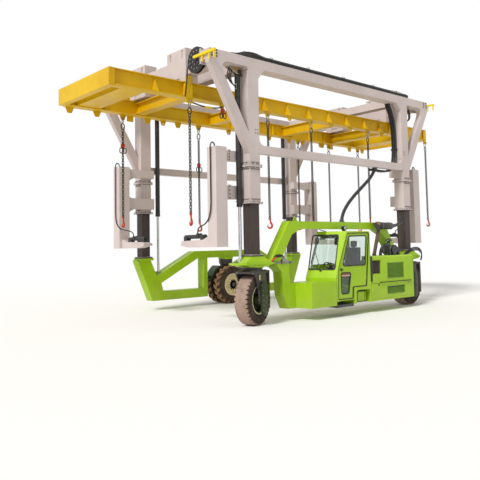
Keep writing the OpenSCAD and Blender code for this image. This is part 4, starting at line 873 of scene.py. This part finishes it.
def make_cab_trim():
    screen = rounded_square(-0.744, 1.16, -0.05, 2.01, 0.045)
    inner = rounded_loop([(2.13, 1.26), (2.43, 1.99), (3.48, 1.99), (3.48, 1.26)], 0.05)
    rear = rounded_loop([(-0.08, 1.3), (0.51, 1.3), (0.51, 1.99), (-0.08, 1.99)], 0.045)
    hole = rounded_loop([(2.705, 2.046), (3.557, 2.059), (3.407, 0.712), (2.868, 0.712),
                         (2.848, 0.432), (2.276, 0.432), (2.322, 1.212)], 0.038)
    lip = [(-0.001, -0.02), (0.014, -0.002), (0.015, 0.003), (0.008, 0.007), (-0.003, 0.002)]
    seals = [band(screen, SEAL, on_windscreen),
             band(inner, SEAL, lambda d, z, up: on_side(-0.15)(d, z, -up)),
             band(rear, SEAL, at_x(-0.57, -1)), band(hole, lip, on_side(0.6))]
    add("cab_window_and_door_seals", seals, RUBBER, "chassis")
    window = rounded_loop([(2.48, 1.24), (2.76, 1.975), (3.475, 1.985), (3.395, 1.24)], 0.055)
    pane = rounded_loop([(2.42, 0.56), (2.42, 1.07), (2.8, 1.07), (2.7, 0.56)], 0.05)
    add("door_window_seals", [band(window, SEAL, on_side(0.585)), band(pane, SEAL, on_side(0.585))],
        RUBBER, "cab_door")
    shade = rounded_loop([(2.425, 0.985), (2.425, 1.065), (2.795, 1.065), (2.778, 0.985)], 0.03)
    add("door_pane_sun_strip", plate(shade, 0.006, on_side(0.576), 0.002), TAN, "cab_door",
        smooth=False)
    pull = hose([(0.662, 2.757, 1.152), (0.664, 2.8, 1.154), (0.546, 2.8, 1.154),
                 (0.548, 2.757, 1.152)], 17, 0.01, 10)
    cup = revolved([(0.0, 0.0), (0.034, 0.0), (0.036, 0.004), (0.03, 0.007), (0.0, 0.006)], 24,
                   (0.605, 2.7595, 1.152))
    add("door_pull", [pull, cup], BLACK, "cab_door")
    foot = (-0.42, 1.135, 0.016)
    hub = revolved([(0.0, -0.01), (0.026, -0.01), (0.026, 0.022), (0.016, 0.03), (0.0, 0.03)], 20,
                   axis="z")
    arm = np.linspace(foot, (-0.62, 1.6, 0.022), 9)
    blade = np.linspace((-0.66, 1.3, 0.012), (-0.58, 1.9, 0.012), 9)
    wiper = [tube(on_windscreen(*arm.T), 0.008, 8), tube(on_windscreen(*blade.T), 0.01, 8),
             copies(hub, on_windscreen(*foot), facing([(0.88, 0.3, 0.36)]))]
    add("windscreen_wiper", wiper, BLACK, "chassis")
    lens = revolved([(0.0, 0.009), (0.03, 0.007), (0.05, 0.001), (0.052, -0.004), (0.0, -0.004)],
                    40, (0.1, Y_LEFT + 0.357, 2.185))
    add("work_lamp_lens", lens, LENS, "chassis")
    mirrors = []
    for along, z in ((-0.66, 1.905), (-0.12, 1.88)):
        shell = rounded_square(along - 0.055, z - 0.085, along + 0.055, z + 0.085, 0.035)
        rim = [(-0.054, -0.105), (-0.004, -0.111), (0.0, -0.101), (-0.006, -0.079),
               (-0.054, -0.069)]
        stay = np.array([(along, z + 0.02, -0.07), (along, z + 0.09, -0.075),
                         (along, z + 0.155, -0.062)])
        mirrors += [band(shell, rim, on_windscreen), tube(on_windscreen(*stay.T), 0.008, 8)]
    add("cab_mirrors", mirrors, BLACK, "chassis")
    # A thin dark green plate at the back of the storage box's recess: painted shade in the recess
    recess = box_mesh((COL - 3.556, Y_LEFT + 0.4405, 0.2905), (COL - 2.994, Y_LEFT + 0.4435, 0.616))
    add("recess_painted_shade_plate", recess, GREEN, "chassis", smooth=False)


# Engine fittings

def make_engine_trim():
    """The hood's latches and the cooler's fins between its two tanks."""
    latch = revolved([(0.0, -0.002), (0.024, -0.002), (0.026, 0.004), (0.018, 0.01),
                      (0.0, 0.011)], 24)
    places = [(x, Y_LEFT + 0.601, z) for x, z in ((-1.7, 0.715), (-0.9, 0.7), (-2.25, 0.715))]
    add("hood_latches", copies(latch, places), RUBBER, "chassis")
    fin = box_mesh((-0.985, Y_LEFT + 0.548, 1.006), (-0.9828, Y_LEFT + 0.56, 1.294))
    fins = copies(fin, [(0.0088 * k, 0, 0) for k in range(44)])
    tanks = [box_mesh((low, Y_LEFT + 0.546, 0.996), (high, Y_LEFT + 0.566, 1.304))
             for low, high in ((-1.016, -0.99), (-0.606, -0.594))]
    add("cooler_fins", [fins] + tanks, FIN, "chassis", smooth=False)


def make_hood_trim():
    """Hoses over the rear fork, the bellows behind the cab, and the hood's rail with a black strip
    above it that paints the shadow along the hood's lower edge.
    """
    loops = []
    for k, bulge in enumerate((0.0, 0.055, 0.11)):
        path = [(-2.5, 0.3 - 0.05 * k, 1.3), (-2.62, 0.38, 1.6 + bulge),
                (-3.22 - bulge, 0.42, 1.7 + bulge), (-3.4 - bulge, 0.4 - 0.04 * k, 1.48),
                (-3.33 - bulge, 0.34 - 0.04 * k, 1.262)]
        loops.append(hose(np.array(path) + [0, Y_LEFT, 0], 33, 0.017, 10))
    add("rear_steering_hoses", loops, HOSE, "chassis")
    folds = [(0.606 + 0.006 * (k % 2), 0.8 + 0.02 * k) for k in range(1, 32)]
    folds = [(0.6, 0.8), (0.612, 0.8)] + folds + [(0.612, 1.44), (0.6, 1.44)]
    seal = np.array([[(x, Y_LEFT + v, z) for v, z in folds]
                     for x in (-0.556, -0.56, -0.636, -0.64)])
    seal[[0, 3], :, 1] = Y_LEFT + 0.6
    add("cab_gap_bellows", skin(seal), RUBBER, "chassis")
    rail = [(0.0, 0.712), (0.018, 0.716), (0.028, 0.728), (0.026, 0.744), (0.0, 0.748)]
    drip = np.array([[(x, Y_LEFT + 0.6 + v * k, z) for v, z in rail]
                     for x, k in ((-0.96, 0.0), (-0.97, 1.0), (-2.38, 1.0), (-2.4, 0.0))])
    add("hood_drip_rail", skin(drip), LIME, "chassis")
    # A black strip just above the rail: painted shadow along the hood's lower edge
    groove = drip * [1, 1, 0.45] + [0, 0, 0.757 - 0.45 * 0.73]
    add("hood_edge_painted_shadow", skin(groove), RUBBER, "chassis")


def make_exhaust():
    """A muffler that lies along the hood with an open tail pipe, the riser that feeds it, and the
    air cleaner's clamps and breather pipe."""
    mid, high = Y_LEFT + 0.205, 2.262
    shell = revolved([(0.0, -1.49), (0.06, -1.49), (0.086, -1.5), (0.097, -1.52), (0.097, -2.08),
                      (0.086, -2.102), (0.062, -2.115), (0.052, -2.13), (0.0, -2.13)][::-1], 48,
                     (0, mid, high), "x")
    tail = bezier([(-2.1, mid, high), (-2.3, mid, high), (-2.44, mid, 2.3),
                   (-2.62, mid, 2.392)], 21)
    wide = np.interp(np.linspace(0, 1, 21), [0, 0.35, 0.8, 1.0], [0.066, 0.044, 0.04, 0.05])
    pipe = np.concatenate([swept_ring(tail, wide, 24), swept_ring(tail, wide - 0.005, 24)[::-1]])
    piece = add("exhaust_muffler", [shell, skin(pipe, close=True)], BLACK, "chassis")
    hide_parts("muffler")
    strap = revolved([(0.095, -0.02), (0.1005, -0.02), (0.102, -0.014), (0.102, 0.014),
                      (0.1005, 0.02), (0.095, 0.02)], 40, axis="x")
    add("muffler_straps", copies(strap, grid((-1.62, -1.98), mid, high)), FIN, "chassis")
    foot, top = np.array([-1.262, mid, 1.43]), np.array([-1.5, mid, 2.13])
    riser = [foot + (top - foot) * t for t in (0, 0.05, 0.06, 0.09, 0.1, 0.5, 0.9, 1.0)]
    elbow = bezier([top, top + (top - foot) * 0.12, (-1.52, mid, high), (-1.6, mid, high)], 10, 0.1)
    thick = [0.048, 0.048, 0.058, 0.058] + [0.048] * 4 + [0.05] * 10
    add("exhaust_riser", tube(np.concatenate([riser, elbow]), thick, 28), RUST, "chassis")
    bracket = plate([(-1.18, 2.33), (-1.5, 2.368), (-1.5, 2.3), (-1.48, 2.17),
                     (-1.4, 2.13), (-1.3, 2.18)], 0.014, at_y(Y_LEFT + 0.262))
    add("muffler_bracket", bracket, BLACK, "chassis", smooth=False)
    guard = plate([(-1.26, 2.372), (-1.49, 2.372), (-1.5, 2.285), (-1.44, 2.27)], 0.01,
                  at_y(Y_LEFT + 0.277))
    add("muffler_heat_guard", guard, KHAKI, "chassis", smooth=False)
    clamp = revolved([(0.119, -0.01), (0.1225, -0.009), (0.1235, 0.0), (0.1225, 0.009),
                      (0.119, 0.01)], 40)
    neck = revolved([(0.044, -0.008), (0.0475, -0.007), (0.0475, 0.007), (0.044, 0.008)], 28,
                    (-1.78, Y_LEFT + 0.33, 1.76), "z")
    clamps = copies(clamp, grid(-1.79, Y_LEFT + np.array([0.225, 0.455]), 1.605))
    add("air_cleaner_clamps", [clamps, neck], ZINC, "chassis")
    breather = hose([(-1.6, Y_LEFT + 0.47, 1.44), (-1.59, Y_LEFT + 0.48, 1.66),
                     (-1.56, Y_LEFT + 0.48, 1.79), (-1.4, Y_LEFT + 0.44, 1.79),
                     (-1.33, Y_LEFT + 0.38, 1.69), (-1.34, Y_LEFT + 0.36, 1.44)], 25, 0.043, 20)
    add("breather_pipe", breather, BLACK, "chassis")


# Wheel drives, reel, cylinder tops and the loose gear on the beams

def make_fork_fittings():
    """Each left fork carries an oval drive housing outboard of its wheel and a reflector on its
    leg."""
    oval = rounded_square(-0.125, 0.225, 0.125, 0.975, 0.118, 9)
    cover = revolved([(0.0, 0.33), (0.088, 0.33), (0.088, 0.342), (0.08, 0.35), (0.03, 0.353),
                      (0.026, 0.362), (0.0, 0.363)], 40, (0, 0, LEFT_WHEEL))
    housing = joined([plate(oval, 0.072, at_y(0.261), 0.018), cover])
    rim = grid((-0.104, 0.104), 0.33, LEFT_WHEEL + np.linspace(-0.22, 0.22, 5))
    bolts = joined([bolt_ring(0.07, 8, 0.009, 0.009, (0, 0.346, LEFT_WHEEL)),
                    heads(rim, (0, 1, 0), 0.009, 0.01)])
    glass = rounded_square(0.11, 1.015, 0.16, 1.13, 0.018)
    lens = plate(glass, 0.012, at_y(0.2605))
    for name, x, steer in (("front", COL, PARKED), ("rear", -COL, 0.0)):
        for piece, part, finish in (("drive_housing", housing, WHEEL_GREEN),
                                    ("drive_bolts", bolts, ZINC),
                                    ("fork_reflector", lens, REFLECTOR)):
            add(f"{piece}_{name}", spun(part, (x, Y_LEFT, 0.0), steer), finish, f"fork_{name}_left")


def make_deck_valves():
    """A valve block on the deck behind the arch's front foot, hoses that loop over it, and pipes
    clipped along the deck's edge."""
    block = [box_mesh((1.98, 2.15, 1.399), (2.19, 2.3, 1.412)),
             box_mesh((2.02, 2.18, 1.412), (2.16, 2.27, 1.462))]
    add("deck_valve_block", block, ZINC, "chassis", smooth=False)
    cap = revolved([(0.0, 0.0), (0.02, 0.0), (0.02, 0.026), (0.014, 0.034), (0.0, 0.034)], 16,
                   axis="z")
    add("deck_valve_caps", copies(cap, grid((2.045, 2.09, 2.135), 2.245, 1.461)), WHITE, "chassis")
    loops = []
    for k in range(4):
        away, high = 0.02 * k, 0.022 * k
        loops.append(hose([(2.56 - away, 2.296, 1.4), (2.55 - away, 2.3, 1.46 + high),
                           (2.42, 2.302, 1.53 + high), (2.2, 2.29, 1.53 + high),
                           (2.11 - away, 2.26, 1.52), (2.14 - away, 2.225, 1.468)],
                          25, 0.0115, 10))
    add("deck_hose_loops", loops, HOSE, "chassis")
    sleeve = hose([(2.56, 2.31, 1.4), (2.54, 2.314, 1.45), (2.48, 2.316, 1.49),
                   (2.42, 2.316, 1.5)], 13, 0.019, 12)
    add("deck_hose_sleeve", sleeve, HOOK_ORANGE, "chassis")
    pipes = [tube(grid((2.59, 2.56, 1.9, 1.87), 2.324, z), [0.01, 0.011, 0.011, 0.01], 10)
             for z in (1.392, 1.366)]
    clips = [box_mesh((x, 2.308, 1.348), (x + 0.022, 2.338, 1.408)) for x in (2.5, 2.24, 1.96)]
    add("deck_pipes", pipes, ZINC, "chassis")
    add("deck_pipe_clips", clips, BLACK, "chassis", smooth=False)


def make_beam_hoses():
    """Hoses lie in two layers along the left top beam's outer edge, rise past the front guard and
    end in a fitting in the beam's top; rubber ties hold them."""
    bundle, radius = [], 0.0215
    for k, (v, z) in enumerate(((0.132, 6.124), (0.088, 6.16), (0.134, 6.168), (0.045, 6.165),
                                (0.09, 6.204))):
        y, edge, lift = Y_LEFT + v, Y_LEFT + 0.155, z + 0.008 * k
        bundle += [hose(grid((-3.3, -1.0, 1.5, 2.55), y, z), 9, radius, 10),
                   hose([(2.55, y, z), (2.8, y, z + 0.01), (2.86, edge, lift),
                         (3.1, edge + 0.001, lift + 0.01), (3.3, edge + 0.001, z),
                         (3.52, edge - 0.005, 6.125),
                         (3.7 - 0.05 * k, Y_LEFT + 0.1 - 0.03 * k, 6.1)], 21, radius, 10)]
    add("top_beam_hose_bundle", bundle, HOSE, "lift_frame")
    loop = rounded_square(0.018, 6.098, 0.162, 6.232, 0.03)
    strap = [(0.0, -0.012), (0.004, -0.012), (0.004, 0.012), (0.0, 0.012)]
    ties = [band(loop, strap, at_x(x)) for x in (-2.7, -1.6, -0.3, 1.1, 2.4)]
    add("top_beam_hose_ties", ties, RUBBER, "lift_frame")


def make_cylinder_tops():
    """Khaki sheets on the left clevis plates, which paint their dirt together with the shade under
    the top beams, and pins on the clevises, with hoses looping to ports in the barrels.
    """
    dirt_and_shade_sheets, pins, hoses, ends = [], [], [], []
    outline = [(3.6, 5.868), (3.2, 5.868), (3.2, 5.64), (3.24, 5.726), (3.358, 5.726)]
    for ahead in (1, -1):
        # These sheets darken the white clevis plates: partly dirt, partly painted shade under the
        # top beams
        dirt_and_shade_sheets.append(plate([(ahead * x, z) for x, z in outline], 0.008, at_y(2.1385)))
        pins.append(revolved([(0.0, 0.0), (0.052, 0.0), (0.052, 0.02), (0.044, 0.028),
                              (0.024, 0.028), (0.022, 0.02), (0.0, 0.02)], 36,
                             (ahead * 3.3, 2.145, 5.769)))
        for sway in (0.0, 0.05, 0.1):
            path = [(3.48 + sway, 2.12, 5.872), (3.5 + sway, 2.13, 5.74),
                    (3.64 + sway, 2.14, 5.64), (3.56 + sway, 2.14, 5.44),
                    (3.39, 2.13, 5.36 + sway), (3.374, 2.11, 5.47 - sway)]
            hoses.append(hose(np.array(path) * [ahead, 1, 1], 29, 0.0125, 10))
            ends.append(revolved([(0.0, -0.018), (0.019, -0.018), (0.019, 0.014), (0.015, 0.022),
                                  (0.0, 0.022)], 12, (ahead * 3.375, 2.11, 5.475 - sway), "z"))
    add("clevis_dirt_and_shade_sheets", dirt_and_shade_sheets, KHAKI, "lift_frame", smooth=False)
    add("clevis_pins", pins, BLACK, "lift_frame")
    add("cylinder_top_hoses", hoses, HOSE, "lift_frame")
    add("cylinder_hose_ends", ends, ZINC, "lift_frame")


def make_reel_fittings():
    """Screws round the reel's front cheek and the hose wound on its drum."""
    def ring(radius, x, angles):
        out = np.stack([0 * angles, np.cos(angles), np.sin(angles)], -1)
        return radius * out + [x, 1.64, 6.01], out
    screws = circle(12) + math.pi / 12
    places = np.concatenate([ring(0.205, 4.17, screws)[0], ring(0.1, 4.17, screws[::2])[0]])
    add("reel_cheek_screws", heads(places, (1, 0, 0), 0.016, 0.014), ZINC, "lift_frame")
    wound = [wire(*ring(radius, x, circle(48)), (1, 0, 0), 0.0115, 0.0115, 8)
             for radius, x in ((0.232, 4.122), (0.232, 4.145), (0.256, 4.122), (0.256, 4.145),
                               (0.28, 4.133))]
    add("wound_reel_hose", wound, HOSE, "lift_frame")


def make_spreader_plates():
    """Closing plates of the end beams and more lug plates."""
    covers = [box_mesh((ahead * 5.95, y, 5.265), (ahead * 6.07, y + 0.012, 5.601))
              for y in (1.142, -1.284) for ahead in (1, -1)]
    add("end_beam_covers", covers, YELLOW, "spreader", smooth=False)
    outline = [(-0.11, 5.238), (-0.055, 5.105), (0.055, 5.105), (0.11, 5.238)]
    lugs = [plate([(ahead * (x + a), z) for a, z in outline], 0.024, at_y(-1.346))
            for x in (5.79, 5.05, 3.55, 2.55) for ahead in (1, -1)]
    add("spare_lug_plates", lugs, YELLOW, "spreader", smooth=False)


def make_loose_gear():
    """An idle sling between two lugs, a coil of hose on the middle cross beam, and clutches with
    two loops each on the slings."""
    rope = bezier([(4.000, 1.232, 5.15), (3.7, 1.24, 5.06), (3.3, 1.24, 5.06),
                   (3.06, 1.232, 5.15)], 31)
    add("idle_sling", tube(rope, 0.017, 10), HOSE, "spreader")
    add("sling_sleeve", tube(rope[12:20], [0.018] + [0.026] * 6 + [0.018], 14), LAMP_YELLOW,
        "spreader")
    coils, turn = [], circle(40)
    for k in range(4):
        path = np.stack([1.5 + (0.1 + 0.012 * k) * np.cos(turn) + 0.02 * k,
                         0.35 + (0.3 - 0.03 * k) * np.sin(turn) - 0.05 * k,
                         5.576 + 0.012 * k + 0.01 * np.sin(3 * turn)], -1)
        coils.append(tube(path, 0.014, 8, closed=True))
    coils.append(hose([(1.56, 0.62, 5.58), (1.64, 0.8, 5.56), (1.64, 0.9, 5.3),
                       (1.6, 0.98, 5.27)], 21, 0.014, 8))
    add("cross_beam_hose_coil", coils, HOSE, "spreader")
    clutches, loops = [], []
    for x, y, z in ((3.05, 1.232, 5.06), (4.31, -1.334, 4.43), (1.83, -1.334, 4.1)):
        shape = [(x - 0.06, z + 0.05), (x + 0.05, z + 0.06), (x + 0.065, z - 0.03),
                 (x + 0.01, z - 0.06), (x - 0.05, z - 0.04)]
        clutches.append(plate(rounded_loop(shape, 0.022), 0.044, at_y(y - 0.022), 0.008))
        loops.append(copies(link(0.105, 0.013, 0.04, 20, 8),
                            grid((x - 0.055, x + 0.055), y + 0.01, z - 0.125)))
    add("sling_clutches", clutches, HOOK_ORANGE, "spreader")
    add("clutch_loops", loops, CHAIN, "spreader")


# Floor and light

def make_floor():
    """A wide pale floor that fades to plain white away from the machine."""
    s = start("pale_studio_floor")
    distance = s.node("VectorMath", {0: s.place}, operation="LENGTH").outputs["Value"]
    far = s.ramp(distance, 8.0, 26.0, interpolation_type="SMOOTHSTEP")
    matt = s.node("BsdfDiffuse", {"Color": "#F2F0EC"})
    white = s.node("Emission", {"Color": "#FFFFFF", "Strength": 1.0})
    mixed = s.node("MixShader", {0: s.times(far, s.seen()), 1: matt.outputs[0],
                                 2: white.outputs[0]})
    half = 120.0
    corners = half * np.array([(-1, -1, 0), (1, -1, 0), (1, 1, 0), (-1, 1, 0)])
    floor = add("floor", (corners, [(0, 1, 2, 3)]), s.output(mixed), smooth=False)


def make_light():
    """One soft sun from ahead of the machine and a pale sky; the sky is white to the camera."""
    sun = bpy.data.objects.new("soft_sun", bpy.data.lights.new("soft_sun", "SUN"))
    sun.data.energy = 2.5
    sun.data.angle = math.radians(14)
    sun.rotation_euler = (math.radians(46), 0.0, math.radians(104))
    bpy.context.scene.collection.objects.link(sun)
    s = Surface(bpy.data.worlds.new("studio"))
    strength = s.ramp(s.seen(), 0.0, 1.0, 0.6, 1.0)
    sky = s.node("Background", {"Color": "#FFFFFF", "Strength": strength})
    bpy.context.scene.world = s.output(sky, "OutputWorld")
    bpy.context.scene.view_settings.view_transform = "Standard"


make_umbilical()
make_reel_hose()
make_chains()
make_hooks()
make_left_wheels()
make_twin_wheel()
make_fastenings()
make_cab_trim()
make_engine_trim()
make_exhaust()
make_hood_trim()
make_fork_fittings()
make_deck_valves()
make_beam_hoses()
make_cylinder_tops()
make_reel_fittings()
make_spreader_plates()
make_loose_gear()
make_floor()
make_light()
